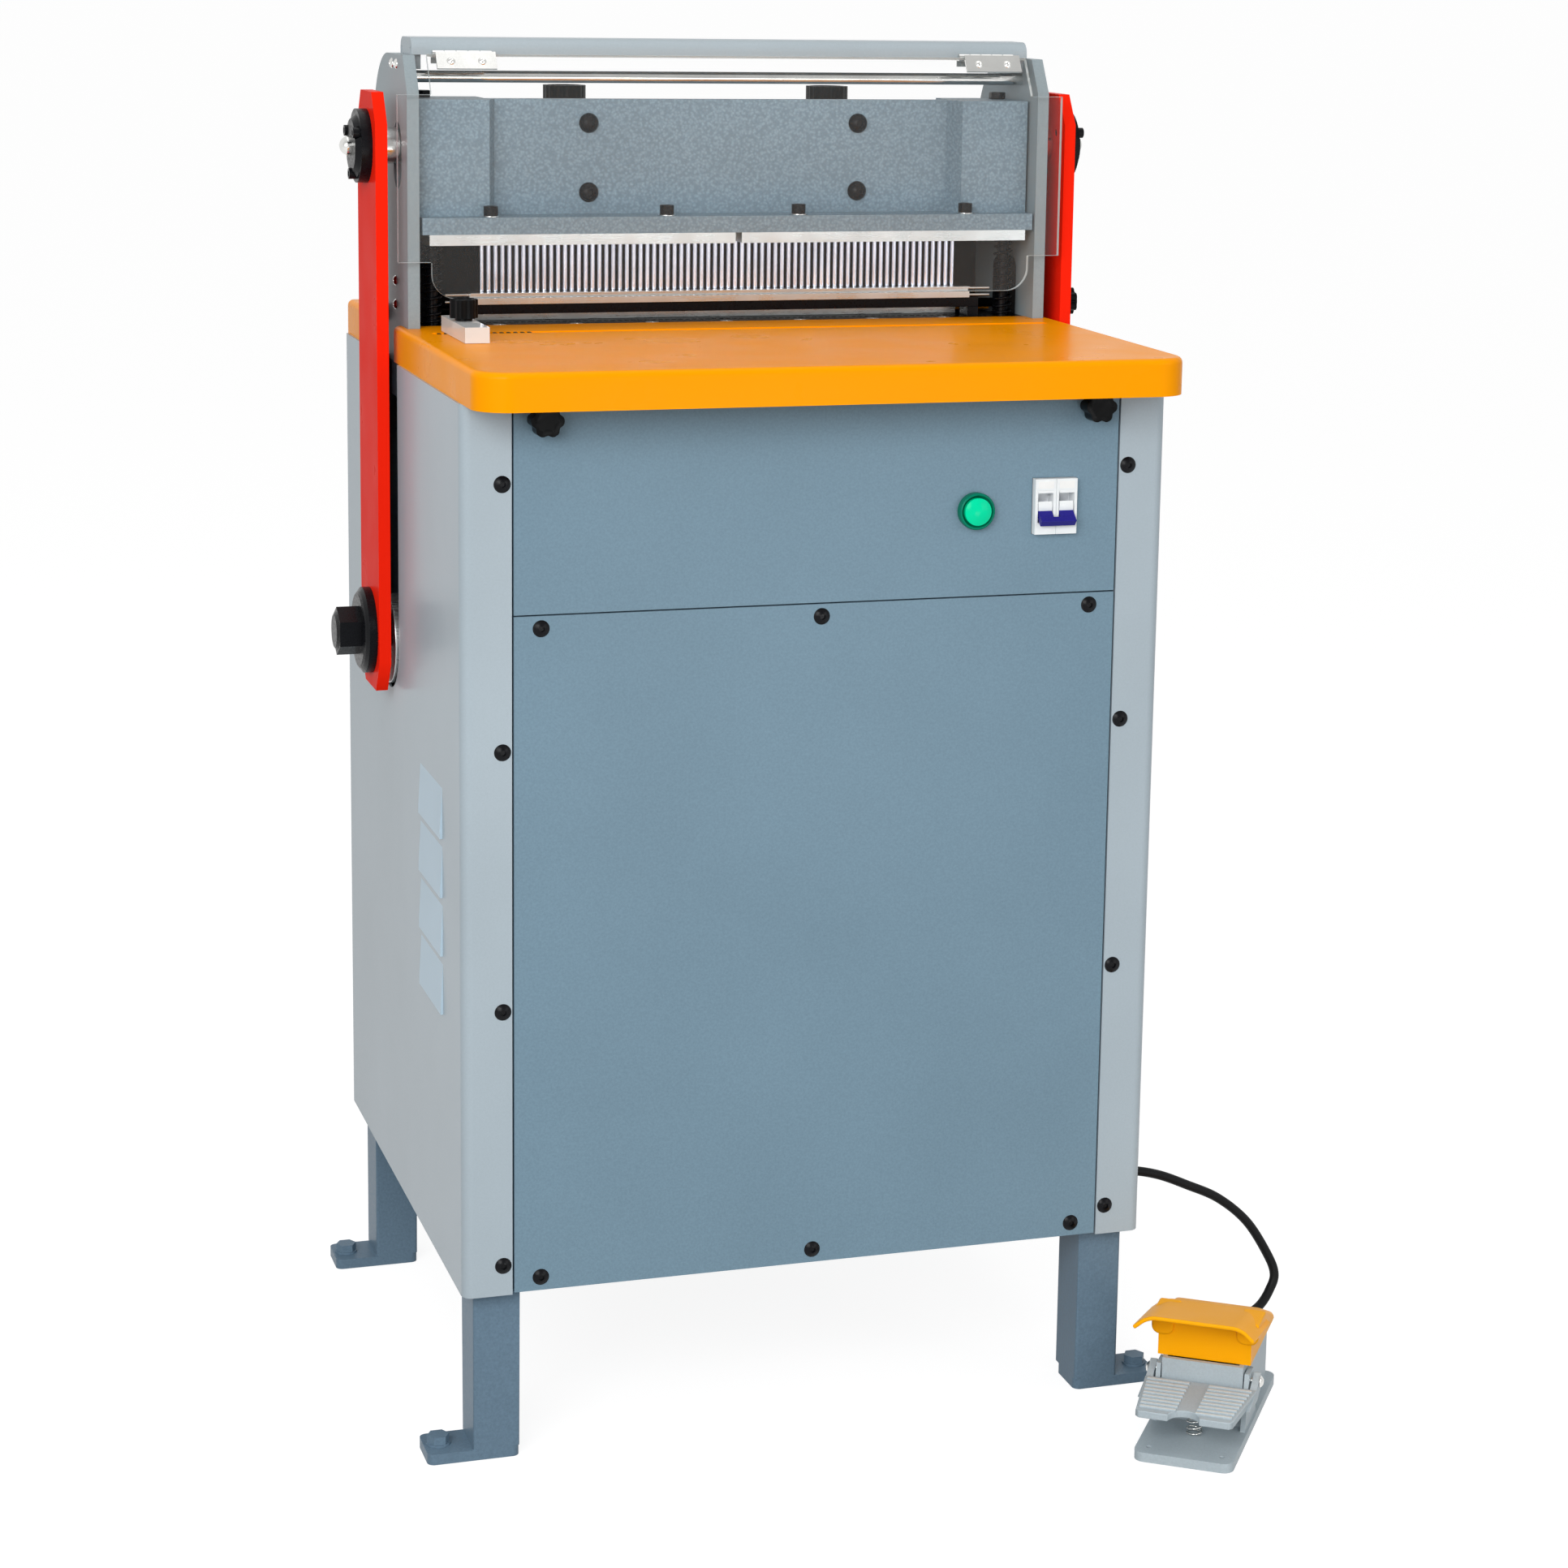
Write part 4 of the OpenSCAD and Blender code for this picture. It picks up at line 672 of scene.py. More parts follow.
def welded_frame():
    """The frame, whose legs have the rounded corners of square tube where they show."""
    foot, hidden, corner = 9, 147, 2.5
    tubes = solid_copy("base_frame", False)
    edit_all(tubes)
    bpy.ops.mesh.bisect(plane_co=(0, 0, hidden * MM), plane_no=(0, 0, 1))
    leave_edit()
    choose(tubes, "FACE", lambda m, n: abs(n.z) < 0.1 and foot < m.z < hidden)
    bpy.ops.mesh.dissolve_limited(angle_limit=FLAT)
    leave_edit()
    round_edges(tubes, corner, 3, leg_corner, clamp=False)
    return smooth(tubes)


class PUNCH_OT_cabinet(bpy.types.Operator):
    """Build the frame and the folded panels of the cabinet"""
    bl_idname = "punch.cabinet"
    bl_label = "Cabinet"

    def execute(self, context):
        edge = context.scene.punch_sizes.sheet_edge
        settle(welded_frame(), "base_frame_finish", "frame enamel", "base_frame")
        soften("frame enamel", 0.8, 2, "motor_plate")
        soften("frame enamel", 0.5, 2, "floor_bolts")
        sides = soften("side powder coat", 0, 0, "left_side_panel", "right_side_panel", whole_faces=False)
        for side in sides:
            # The pressed louvres stand proud of the sheet; their faces and end walls get a lighter, bluer
            # copy of the side coat, a painted highlight for the light they catch
            repaint(side, "louvre painted highlight coat", lambda m, n: abs(m.x) > SHEET_OUT and n.z > -0.9)
        soften("side powder coat", 0, 0, "rear_panel", whole_faces=False)
        half, seam = extent("control_panel")[1].x, 0.6
        for panel in soften("front powder coat", edge, 2, "control_panel", "lower_front_panel"):
            # The sheets stand in their opening with a seam that the eye can see
            panel.data.transform(Matrix.Diagonal((1 - seam / half, 1, 1, 1)))
        return {"FINISHED"}


def dome_head(diameter, height, shank, length):
    """A button head with a hexagon socket, its seat at the origin."""
    ball = (diameter ** 2 / 4 + height ** 2) / (2 * height)
    head = ball_cap(ball, height, 0, 32, 24)
    round_edges(head, 0.4, 2, lambda m, d: abs(m.z) < 0.01)
    cut(head, rod((0, 0, height - diameter * 0.13), (0, 0, height + 1), diameter * 0.36, 6))
    stem = rod((0, 0, -length), (0, 0, 0.05), shank, 16)
    return smooth(join([head, stem]))


def socket_head(diameter, length):
    """A cap screw with its socket, its seat at the origin."""
    head = rod((0, 0, 0), (0, 0, diameter), diameter * 1.5, 32)
    cut(head, rod((0, 0, diameter * 0.45), (0, 0, diameter * 2), diameter * 0.95, 6))
    sharp_rims(head, diameter * 0.05)
    return smooth(join([head, rod((0, 0, -length), (0, 0, 0.05), diameter, 20)]))


class PUNCH_OT_panel_screws(bpy.types.Operator):
    """Drive the black button screws of the panels"""
    bl_idname = "punch.panel_screws"
    bl_label = "Panel screws"

    def execute(self, context):
        low, high = extent("left_side_panel")
        seam = extent("control_panel")[0].z - 0.6
        front, back = low.y, high.y
        inset_x = -low.x - 5
        flange_x, panel_x = inset_x - 29.5, inset_x - 60
        flange_rows = [low.z + 25, low.z + 235, low.z + 444, high.z - 62]
        panel_rows = [low.z + 12.6, seam - 10.5]
        places = [((x, front, z), (0, -1, 0)) for x in (-flange_x, flange_x) for z in flange_rows]
        places += [((x, front, z), (0, -1, 0)) for x in (-panel_x, 0, panel_x) for z in panel_rows]
        places += [((x, back, z), (0, 1, 0)) for x in (-panel_x, panel_x) for z in (low.z + 21, high.z - 19)]
        screw = dome_head(diameter=13.8, height=3, shank=5, length=24)
        screws = repeat(screw, [facing(*place) for place in places])
        settle(screws, "panel_button_screws", "black oxide", "panel_screws")
        return {"FINISHED"}


def deck(node, corner, edge, wall, open_side):
    """A folded sheet deck with rolled upper edges, open below and towards one side."""
    low, high = extent(node)
    piece = block(low, high)
    shut, way = (low.y, high.y) if open_side > 0 else (high.y, low.y)
    round_edges(piece, corner, 10, lambda m, d: abs(d.z) > 0.9 and abs(m.y - shut) < 1)
    round_edges(piece, edge, 5,
                lambda m, d: abs(m.z - high.z) < 0.1 and abs(d.z) < 0.1 and abs(m.y - way) > 1)
    choose(piece, "FACE", lambda m, n: n.z < -0.9 or n.y * open_side > 0.9)
    bpy.ops.mesh.delete(type="FACE")
    leave_edit()
    thicken(piece, wall)
    return piece


# Thickness of the head plates
PLATE = 10


def plate_slots(front, back, low, high):
    """Cutters for the two openings that the head plates stand in."""
    gap, over = 0.8, 2
    inner = extent("head_plates")[1].x - PLATE
    slots = []
    for s in (-1, 1):
        near, far = sorted((s * inner, s * (inner + PLATE)))
        slots.append(block((near - gap, front, low - over), (far + gap, back, high + over)))
    return slots


class PUNCH_OT_table(bpy.types.Operator):
    """Fold the feed table and the rear cover out of sheet"""
    bl_idname = "punch.table"
    bl_label = "Table and rear cover"

    def execute(self, context):
        size = context.scene.punch_sizes
        plates_low, plates_high = extent("head_plates")
        inner, wall, gap = plates_high.x - PLATE, 2.5, 1.2
        low, high = extent("table")
        table = deck("table", size.deck_corner, size.deck_edge, wall, 1)
        slots = plate_slots(plates_low.y - gap, high.y + 5, low.z, high.z)
        mouth = block((-inner, high.y - 7, low.z - 2), (inner, high.y + 5, high.z + 2))
        groove_y, groove_half, groove_depth = -9, 268, 1.5
        groove = block((-groove_half, groove_y - 8, high.z - groove_depth),
                       (groove_half, groove_y + 3, high.z + 2))
        cut(table, *slots, mouth, groove)
        lip = block((-inner + 6, high.y - 9, high.z - 14), (inner - 6, high.y - 7, high.z - 2.5))
        table = smooth(join([table, lip]))
        settle(table, "feed_table", "orange enamel", "table")
        # Index strip in the groove's left end: a row of dark marks that the lay guide is set against
        first_mark, count, half_wide, half_long = -262, 14, 1.4, 2.95
        mark = block((-half_wide, groove_y - half_long, high.z - 1.7),
                     (half_wide, groove_y + half_long, high.z - 0.1))
        round_edges(mark, 0.4, 2, lambda m, d: abs(m.z - high.z) < 0.2)
        mark_xs = [first_mark + i * size.tick_pitch for i in range(count)]
        marks = repeat(smooth(mark), [Matrix.Translation((x * MM, 0, 0)) for x in mark_xs])
        settle(marks, "table_scale", "scale ink", body="base", slot="orange_paint")
        cover = deck("rear_top_cover", size.cover_corner, size.deck_edge, wall, -1)
        low, high = extent("rear_top_cover")
        cut(cover, *plate_slots(low.y - 5, plates_high.y + gap, low.z, high.z))
        settle(smooth(cover), "rear_cover", "orange enamel", "rear_top_cover")
        return {"FINISHED"}


class PUNCH_OT_head(bpy.types.Operator):
    """Set up the head plates with their cover bar and rod"""
    bl_idname = "punch.head"
    bl_label = "Head"

    def execute(self, context):
        soften("plate paint", 0.9, 3, "head_plates")
        soften("cover paint", 0.8, 2, "top_cover")
        soften("bright plate", 0.6, 2, "guard_rod")
        soften("bright plate", 0.25, 2, "head_screws")
        return {"FINISHED"}


class PUNCH_OT_beam(bpy.types.Operator):
    """Cast the press beam and fit its bars and screws"""
    bl_idname = "punch.beam"
    bl_label = "Press beam"

    def execute(self, context):
        soften("hammertone", context.scene.punch_sizes.cast_edge, 3, "press_beam")
        soften("ground steel", 0.4, 2, "pressure_bars")
        low, high = extent("press_beam")
        face, ledge_y, column_y = FRONT_Y + 294, FRONT_Y + 266, FRONT_Y + 320
        ledge = low.z + 14
        buttons = repeat(dome_head(diameter=17, height=7, shank=10, length=11), [
            facing((x, face, low.z + z), (0, -1, 0)) for x in (-119, 119) for z in (32, 90)])
        ledge_xs, washer = (-209, -58, 58, 209), 1
        caps = repeat(socket_head(diameter=8, length=17), [
            facing((x, ledge_y, ledge + washer), (0, 0, 1)) for x in ledge_xs])
        across_flats = 13
        hexes = rod((0, 0, 0), (0, 0, 6), across_flats / math.cos(math.radians(30)), 6)
        sharp_rims(hexes, 0.6)
        hexes = repeat(smooth(join([hexes, rod((0, 0, -20), (0, 0, 0.05), 8, 20)])), [
            facing((x, column_y, high.z), (0, 0, 1)) for x in (-256, 256)])
        settle(join([buttons, caps, hexes]), "beam_fasteners", "black oxide", "beam_screws")
        ring = rod((0, 0, 0), (0, 0, washer), 15.5, 32)
        cut(ring, rod((0, 0, -1), (0, 0, 2), 8.4, 24))
        sharp_rims(ring, 0.25)
        rings = repeat(smooth(ring), [facing((x, ledge_y, ledge), (0, 0, 1)) for x in ledge_xs])
        settle(rings, "ledge_washers", "bright plate", body="beam", slot="bright_plate")
        return {"FINISHED"}


class PUNCH_OT_pins(bpy.types.Operator):
    """Fit the row of punch pins"""
    bl_idname = "punch.pins"
    bl_label = "Punch pins"

    def execute(self, context):
        low, high = extent("punch_pins")
        count, thick, head, head_high = 71, 4.0, 5.0, 2
        pitch = (high.x - low.x - head) / (count - 1)
        pin = rod((0, 0, low.z), (0, 0, high.z - head_high), thick, 16)
        round_edges(pin, 0.3, 1, lambda m, d: abs(m.z - low.z) < 0.01)
        top = rod((0, 0, high.z - head_high), (0, 0, high.z), head, 16)
        middle = (low.y + high.y) / 2
        starts = [Vector(((i - (count - 1) / 2) * pitch, middle, 0)) * MM for i in range(count)]
        row = repeat(smooth(join([pin, top])), [Matrix.Translation(start) for start in starts])
        settle(row, "punch_pin_row", "drawn steel", "punch_pins")
        return {"FINISHED"}


class PUNCH_OT_die_set(bpy.types.Operator):
    """Lay the die, the pin guide and the gauge between the head plates"""
    bl_idname = "punch.die_set"
    bl_label = "Die set"

    def execute(self, context):
        # The die plate takes black oxide like the bed; where it shows through the throat, its dark also
        # paints the shade in there
        soften("black oxide", 0.4, 2, "die_bed", "guide_block", "die_plate", whole_faces=False)
        soften("black oxide", 0.6, 2, "guide_columns")
        soften("black paint", 0.6, 2, "rear_guard")
        soften("ground steel", 0.3, 2, "guide_bar", "back_gauge")
        return {"FINISHED"}


def coil_line(centre, turns, height, outer, wire):
    """Centreline of a spring with close end turns and an open middle."""
    radius, close, fine = (outer - wire) / 2, wire + 0.9, 24
    open_pitch = (height - 2 * close - wire) / (turns - 2)
    line = []
    for i in range(turns * fine + 1):
        t = i / fine
        rise = close * min(t, 1) + open_pitch * min(max(t - 1, 0), turns - 2) + close * max(t - turns + 1, 0)
        angle = 2 * math.pi * t
        out = Vector((radius * math.cos(angle), radius * math.sin(angle), wire / 2 + rise))
        line.append((Vector(centre) + out) * MM)
    return line


class PUNCH_OT_springs(bpy.types.Operator):
    """Wind the two return springs and the foot switch spring"""
    bl_idname = "punch.springs"
    bl_label = "Springs"

    def execute(self, context):
        low, high = extent("return_springs")
        outer, wire, turns = 17.0, 2.2, 11
        height = high.z - low.z
        x, y = (high.x - low.x - outer) / 2, FRONT_Y + 290
        coil = tube(coil_line((0, y, low.z), turns, height, outer, wire), wire)
        pair = repeat(coil, left_and_right(x))
        settle(pair, "beam_return_springs", "black oxide", "return_springs")
        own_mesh(pair)
        low, high = extent("pedal_spring")
        height = high.z - low.z
        foot = on_pedal(0, -50, low.z)
        outer, wire, turns = 14, 1.6, 6
        spring = tube(coil_line(foot, turns, height, outer, wire), wire)
        settle(spring, "treadle_spring", "bright plate", "pedal_spring")
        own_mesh(spring)
        return {"FINISHED"}


class PUNCH_OT_links(bpy.types.Operator):
    """Hang the red links on their pivots"""
    bl_idname = "punch.links"
    bl_label = "Links"

    def execute(self, context):
        soften("red enamel", 1.2, 3, "links")
        soften("black oxide", 0.6, 2, "hub_caps", whole_faces=False)
        soften("black oxide", 0.8, 3, "crank_bolts")
        soften("black oxide", 0.35, 2, "hub_screws")
        soften("bright plate", 0.8, 3, "pivot_pins")
        return {"FINISHED"}


class PUNCH_OT_shield(bpy.types.Operator):
    """Hinge the clear guard to the top cover"""
    bl_idname = "punch.shield"
    bl_label = "Guard"

    def execute(self, context):
        guard, = soften("clear acrylic", 0.6, 2, "shield")
        # Cut edges of the sheet look denser than its faces
        repaint(guard, "acrylic edge", lambda m, n: abs(n.y) < 0.6)
        soften("bright plate", 0.2, 2, "hinge_leaves", whole_faces=False)
        soften("bright plate", 0, 0, "shield_hinges", whole_faces=False)
        return {"FINISHED"}


class PUNCH_OT_lamp(bpy.types.Operator):
    """Fit the pilot lamp"""
    bl_idname = "punch.lamp"
    bl_label = "Pilot lamp"

    def execute(self, context):
        centre = middle_of("lamp_bezel")
        place = facing((centre.x, FRONT_Y, centre.z), (0, -1, 0))
        proud, ring_wide, lens_wide, lens_foot, lens_top = 7, 30, 21.6, 8, 11
        rim, slope, sunk = 1.8, 2.0, 5
        ring = rod((0, 0, 0), (0, 0, proud), ring_wide, 64)
        choose(ring, "FACE", lambda m, n: n.z > 0.9)
        bpy.ops.mesh.inset(thickness=rim * MM, depth=0)
        bpy.ops.mesh.inset(thickness=slope * MM, depth=-sunk * MM)
        leave_edit()
        round_edges(ring, 2.6, 4, lambda m, d: m.z > proud - 0.1 and m.xy.length > ring_wide / 2 - 0.5)
        sharp_rims(ring, 0.4)
        back = rod((0, 0, -34), (0, 0, 0.05), 22, 32)
        nut = rod((0, 0, -7), (0, 0, -2.05), 28, 6)
        bezel = smooth(join([ring, back, nut]))
        bezel.data.transform(place)
        settle(bezel, "lamp_ring", "lamp bezel plastic", "lamp_bezel")
        cap = ball_cap(22, lens_top, lens_foot, 48, 64)
        stem = rod((0, 0, 2), (0, 0, lens_foot + 0.1), lens_wide, 48)
        sharp_rims(stem, 0.8, 3)
        lens = smooth(join([stem, cap]))
        lens.data.transform(place)
        settle(lens, "lamp_dome", "lamp lens plastic", "lamp_lens")
        return {"FINISHED"}


class PUNCH_OT_breaker(bpy.types.Operator):
    """Fit the two-pole breaker and its joined toggle"""
    bl_idname = "punch.breaker"
    bl_label = "Breaker"

    def execute(self, context):
        soften("breaker plastic", 0.6, 3, "breaker_body")
        soften("toggle plastic", 0.7, 3, "breaker_toggle")
        low = extent("breaker_body")[0]
        centre = middle_of("breaker_body")
        poles = left_and_right(9, centre.x)
        plate = block((-6.5, low.y - 0.25, centre.z + 14.8), (6.5, low.y + 0.1, centre.z + 20.5))
        round_edges(plate, 0.6, 2, lambda m, d: abs(d.y) > 0.9)
        settle(repeat(plate, poles), "breaker_plates", "breaker label", body="base", slot="breaker_white")
        # Round shutters that turn with the toggle and close its two slots, and the lips above them
        pivot = Vector((0, FRONT_Y + 3, centre.z))
        reach, half_slot = 8.6, 6
        arc = [math.radians(a) for a in range(-25, 31, 5)]
        outline = [(0, 0), *[(-reach * math.cos(a), reach * math.sin(a)) for a in arc]]
        shutter = prism(outline, -half_slot, half_slot)
        sharp_rims(shutter, 0.3, 2)
        shutter.data.transform(Matrix.Translation(pivot * MM) @ ON_EDGE)
        settle(repeat(smooth(shutter), poles), "toggle_shutters", "breaker plastic",
               body=BODY["breaker_toggle"], slot="breaker_white")
        lip = block((-6.6, low.y + 0.2, centre.z + 10.8), (6.6, low.y + 9, centre.z + 13.1))
        round_edges(lip, 0.4, 2, lambda m, d: abs(d.x) > 0.9)
        settle(repeat(smooth(lip), poles), "breaker_lips", "breaker plastic", body="base",
               slot="breaker_white")
        return {"FINISHED"}


def scallop(knob, count, depth, power=1):
    """Draws the side of a round knob in between its lobes or ribs."""
    for vertex in knob.data.vertices:
        angle = math.atan2(vertex.co.y, vertex.co.x)
        vertex.co.xy *= 1 - depth * (0.5 - 0.5 * math.cos(count * angle)) ** power


def star_knob(diameter, height, lobes):
    """A moulded star knob standing on the origin: waisted lobes, rounded rims and a sunk cap."""
    per_lobe = 8
    knob = rod((0, 0, 0), (0, 0, height), diameter, lobes * per_lobe)
    scallop(knob, lobes, 0.17, 2)
    choose(knob, "FACE", lambda m, n: n.z > 0.9)
    bpy.ops.mesh.inset(thickness=diameter * 0.14 * MM, depth=height * 0.06 * MM)
    bpy.ops.mesh.inset(thickness=diameter * 0.05 * MM, depth=-height * 0.06 * MM)
    leave_edit()
    sharp_rims(knob, diameter * 0.06, 3, 55)
    return smooth(knob, 50)


class PUNCH_OT_knobs(bpy.types.Operator):
    """Screw in the hand knobs and the two ribbed beam knobs"""
    bl_idname = "punch.knobs"
    bl_label = "Knobs"

    def execute(self, context):
        star = star_knob(diameter=26, height=15, lobes=6)
        star.data.transform(Matrix.Translation((0, 0, 3.5 * MM)))
        collar = rod((0, 0, 0), (0, 0, 4), 14, 32)
        thread = rod((0, 0, -26), (0, 0, 0.1), 8, 24)
        hand_knob = smooth(join([star, collar, thread]), 50)
        for node in ("left_hand_knob", "right_hand_knob"):
            centre = middle_of(node)
            knob = copy_to(hand_knob, facing((centre.x, FRONT_Y - 0.3, centre.z), (0, -1, 0)))
            settle(knob, node + "_star", "black plastic", node)
        bpy.data.objects.remove(hand_knob)
        wide, height, ribs, rim, slope, sunk = 37, 19, 20, 3.2, 1.4, 2.5
        drum = rod((0, 0, 0), (0, 0, height), wide, ribs * 4)
        scallop(drum, ribs, 0.055)
        choose(drum, "FACE", lambda m, n: n.z > 0.9)
        bpy.ops.mesh.inset(thickness=rim * MM, depth=0)
        bpy.ops.mesh.inset(thickness=slope * MM, depth=-sunk * MM)
        leave_edit()
        sharp_rims(drum, 0.8, 3, 60)
        beam_knob = smooth(join([drum, rod((0, 0, -16), (0, 0, 0.1), 8, 24)]), 50)
        for node in ("left_beam_knob", "right_beam_knob"):
            centre = middle_of(node)
            foot = Vector((centre.x, centre.y, extent(node)[1].z - height))
            knob = copy_to(beam_knob, Matrix.Translation(foot * MM))
            settle(knob, node + "_ribbed", "black plastic", node)
        bpy.data.objects.remove(beam_knob)
        return {"FINISHED"}


class PUNCH_OT_lay_guide(bpy.types.Operator):
    """Set the lay guide with its knob and the margin shaft"""
    bl_idname = "punch.lay_guide"
    bl_label = "Lay guide and margin knob"

    def execute(self, context):
        soften("acrylic block", 0.8, 3, "side_guide")
        centre = middle_of("side_guide_knob")
        foot = extent("side_guide_knob")[0].z + 9
        knob = star_knob(diameter=23, height=15, lobes=6)
        knob.data.transform(Matrix.Translation((0, 0, 2 * MM)))
        whole = join([knob, rod((0, 0, 0), (0, 0, 2.5), 14, 32), rod((0, 0, -9), (0, 0, 0.1), 6, 24)])
        whole.data.transform(Matrix.Translation(Vector((centre.x, centre.y, foot)) * MM))
        settle(smooth(whole, 50), "lay_guide_star", "black plastic", "side_guide_knob")
        soften("black plastic", 0.6, 2, "margin_knob")
        return {"FINISHED"}


# Height of the foot plate's upper face, under its ribs
TREAD_TOP = 44


def treadle():
    """The ribbed foot plate with a thumb notch in its front edge and a lug at each end of its pivot."""
    top, pivot_v, pivot_z = TREAD_TOP, -14, 46
    notch_r, notch_v = 13, -101
    turns = [math.radians(175.6 - 17.12 * i) for i in range(11)]
    notch = [(notch_r * math.cos(a), notch_r * math.sin(a) + notch_v) for a in turns]
    outline = [(-40, -97), (-37, -100), *notch, (37, -100), (40, -97), (47, -28), (-47, -28)]
    plate = prism(outline, top - 6, top)
    sharp_rims(plate, 0.8, 3)
    rib_high, rib_wide, rib_pitch, rib_start = 1.4, 3, 7, 8
    ribs = []
    for i in range(9):
        # The plate widens towards its pivot, and the ribs with it
        y, x = -92 + rib_pitch * i, 38 + 0.72 * i
        ribs += [block((a, y, top - 0.1), (b, y + rib_wide, top + rib_high))
                 for a, b in ((rib_start, x), (-x, -rib_start))]
    ribs = join(ribs)
    round_edges(ribs, 0.5, 2, lambda m, d: m.z > top + rib_high - 0.1)
    lug_half, lug_x = 3, 43.6
    lug = prism([(-60, top - 6), (-28, top - 1), (-8, pivot_z + 7), (-6, pivot_z - 6), (-24, top - 12)],
                -lug_half, lug_half)
    round_edges(lug, 3, 4, lambda m, d: abs(d.z) > 0.9 and m.x > -30)
    cut(lug, rod((pivot_v, pivot_z, -5), (pivot_v, pivot_z, 5), 6.1, 24))
    sharp_rims(lug, 0.5, 2)
    lug.data.transform(ON_EDGE)
    return smooth(join([plate, ribs, repeat(lug, left_and_right(lug_x))]))


def canopy():
    """The hood of the foot switch: a folded roof with flared sides over a sloping housing."""
    half, flare, drop, wall, depth = 39, 51, 10, 3.4, 77
    roof = block((-flare, -depth / 2, -drop), (flare, depth / 2, 0))
    for vertex in roof.data.vertices:
        if vertex.co.z > -MM:
            vertex.co.x *= half / flare
    choose(roof, "FACE", lambda m, n: n.z < -0.9 or abs(n.y) > 0.9)
    bpy.ops.mesh.delete(type="FACE")
    leave_edit()
    round_edges(roof, 7, 6, lambda m, d: abs(d.y) > 0.9 and abs(m.z) < 0.1)
    thicken(roof, wall)
    sharp_rims(roof, 1.3, 3, 60)
    # The roof falls towards the back, by 10 in 58
    fall = math.atan2(10, 58)
    roof.data.transform(Matrix.Translation(Vector((-2.5, -18, 101.2)) * MM) @ Matrix.Rotation(-fall, 4, "X"))
    shoulder_half, shoulder_x = 9.5, 35.5
    shoulder = block((-shoulder_half, -20, 78), (shoulder_half, 14, 97))
    round_edges(shoulder, 7, 5, lambda m, d: abs(d.y) > 0.9 and m.z < 90)
    sharp_rims(shoulder, 2, 3, 60)
    shoulders = repeat(shoulder, left_and_right(shoulder_x))
    # The housing's top falls gently to its knee and steeply behind it
    front, knee, back = -18, 40, 90
    heights = {front: 98, knee: 88, back: 66}
    housing = block((-half, front, 60.2), (half, back, 98))
    edit_all(housing)
    bpy.ops.mesh.bisect(plane_co=(0, knee * MM, 0), plane_no=(0, 1, 0))
    leave_edit()
    for vertex in housing.data.vertices:
        if vertex.co.z > 90 * MM:
            vertex.co.z = heights[round(vertex.co.y / MM)] * MM
    round_edges(housing, 7, 5, lambda m, d: m.z > 62 and abs(d.x) < 0.1 and abs(d.y) > 0.5)
    choose(housing, "FACE", lambda m, n: n.z < -0.9)
    bpy.ops.mesh.delete(type="FACE")
    leave_edit()
    thicken(housing, wall)
    sharp_rims(housing, 1, 3, 60)
    return smooth(join([roof, housing, shoulders]))


class PUNCH_OT_pedal(bpy.types.Operator):
    """Build the foot switch"""
    bl_idname = "punch.pedal"
    bl_label = "Foot switch"

    def execute(self, context):
        soften("cast alloy", 1.2, 3, "pedal_base")
        soften("bright plate", 0.4, 2, "pedal_pivots")
        place = Matrix.Translation(PEDAL_AT * MM) @ Matrix.Rotation(PEDAL_TURN, 4, "Z")
        tread = treadle()
        tread.data.transform(place)
        settle(tread, "treadle_casting", "cast alloy", "pedal_treadle")
        # The upward tops of the ribs get a paler alloy: a painted highlight
        repaint(tread, "rib top painted highlight", lambda m, n: TREAD_TOP + 1.2 < m.z < TREAD_TOP + 1.5 and n.z > 0.8)
        hood = canopy()
        hood.data.transform(place)
        settle(hood, "foot_switch_hood", "yellow enamel", "pedal_canopy")
        return {"FINISHED"}


class PUNCH_OT_drive(bpy.types.Operator):
    """Finish the drive inside the cabinet"""
    bl_idname = "punch.drive"
    bl_label = "Drive"

    def execute(self, context):
        soften("ground steel", 0.6, 2, "crankshaft")
        soften("clutch copper", 0.5, 2, "clutch")
        soften("cast iron", 0.8, 2, "flywheel", "motor_pulley", "crank_bearings")
        soften("motor paint", 0.6, 2, "motor")
        soften("belt rubber", 0.6, 2, "drive_belts")
        return {"FINISHED"}


# Stage

CAMERA_AT = Vector((-0.8106, -2.7797, 1.1989))
YAW, PITCH, ROLL = 0.3121, -0.1827, 0.0164
# Focal length and the place of the optical axis, in pixels of a 1932 pixel square
IMAGE = 1932
FOCAL = 4243.06
AXIS_U, AXIS_V = 1031.4, 729.2
SENSOR = 36.0


def place_camera():
    """The photograph's viewpoint."""
    ahead = Vector((math.sin(YAW) * math.cos(PITCH), math.cos(YAW) * math.cos(PITCH), math.sin(PITCH)))
    right = Vector((math.cos(YAW), -math.sin(YAW), 0))
    up = right.cross(ahead)
    across = math.cos(ROLL) * right + math.sin(ROLL) * up
    upward = math.cos(ROLL) * up - math.sin(ROLL) * right
    data = bpy.data.cameras.new("viewpoint")
    data.sensor_width = SENSOR
    data.lens = SENSOR * FOCAL / IMAGE
    data.shift_x = (IMAGE / 2 - AXIS_U) / IMAGE
    data.shift_y = (AXIS_V - IMAGE / 2) / IMAGE
    camera = bpy.data.objects.new("viewpoint", data)
    bpy.context.scene.collection.objects.link(camera)
    turn = Matrix((across, upward, -ahead)).transposed().to_4x4()
    camera.matrix_world = Matrix.Translation(CAMERA_AT) @ turn
    bpy.context.scene.camera = camera


def soft_light(name, place, target, size, watts):
    """A square studio softbox."""
    clear_selection()
    bpy.ops.object.light_add(type="AREA", location=place)
    lamp = bpy.context.object
    lamp.name = name
    lamp.data.size = size
    lamp.data.energy = watts
    lamp.rotation_euler = (Vector(target) - Vector(place)).to_track_quat("-Z", "Y").to_euler()


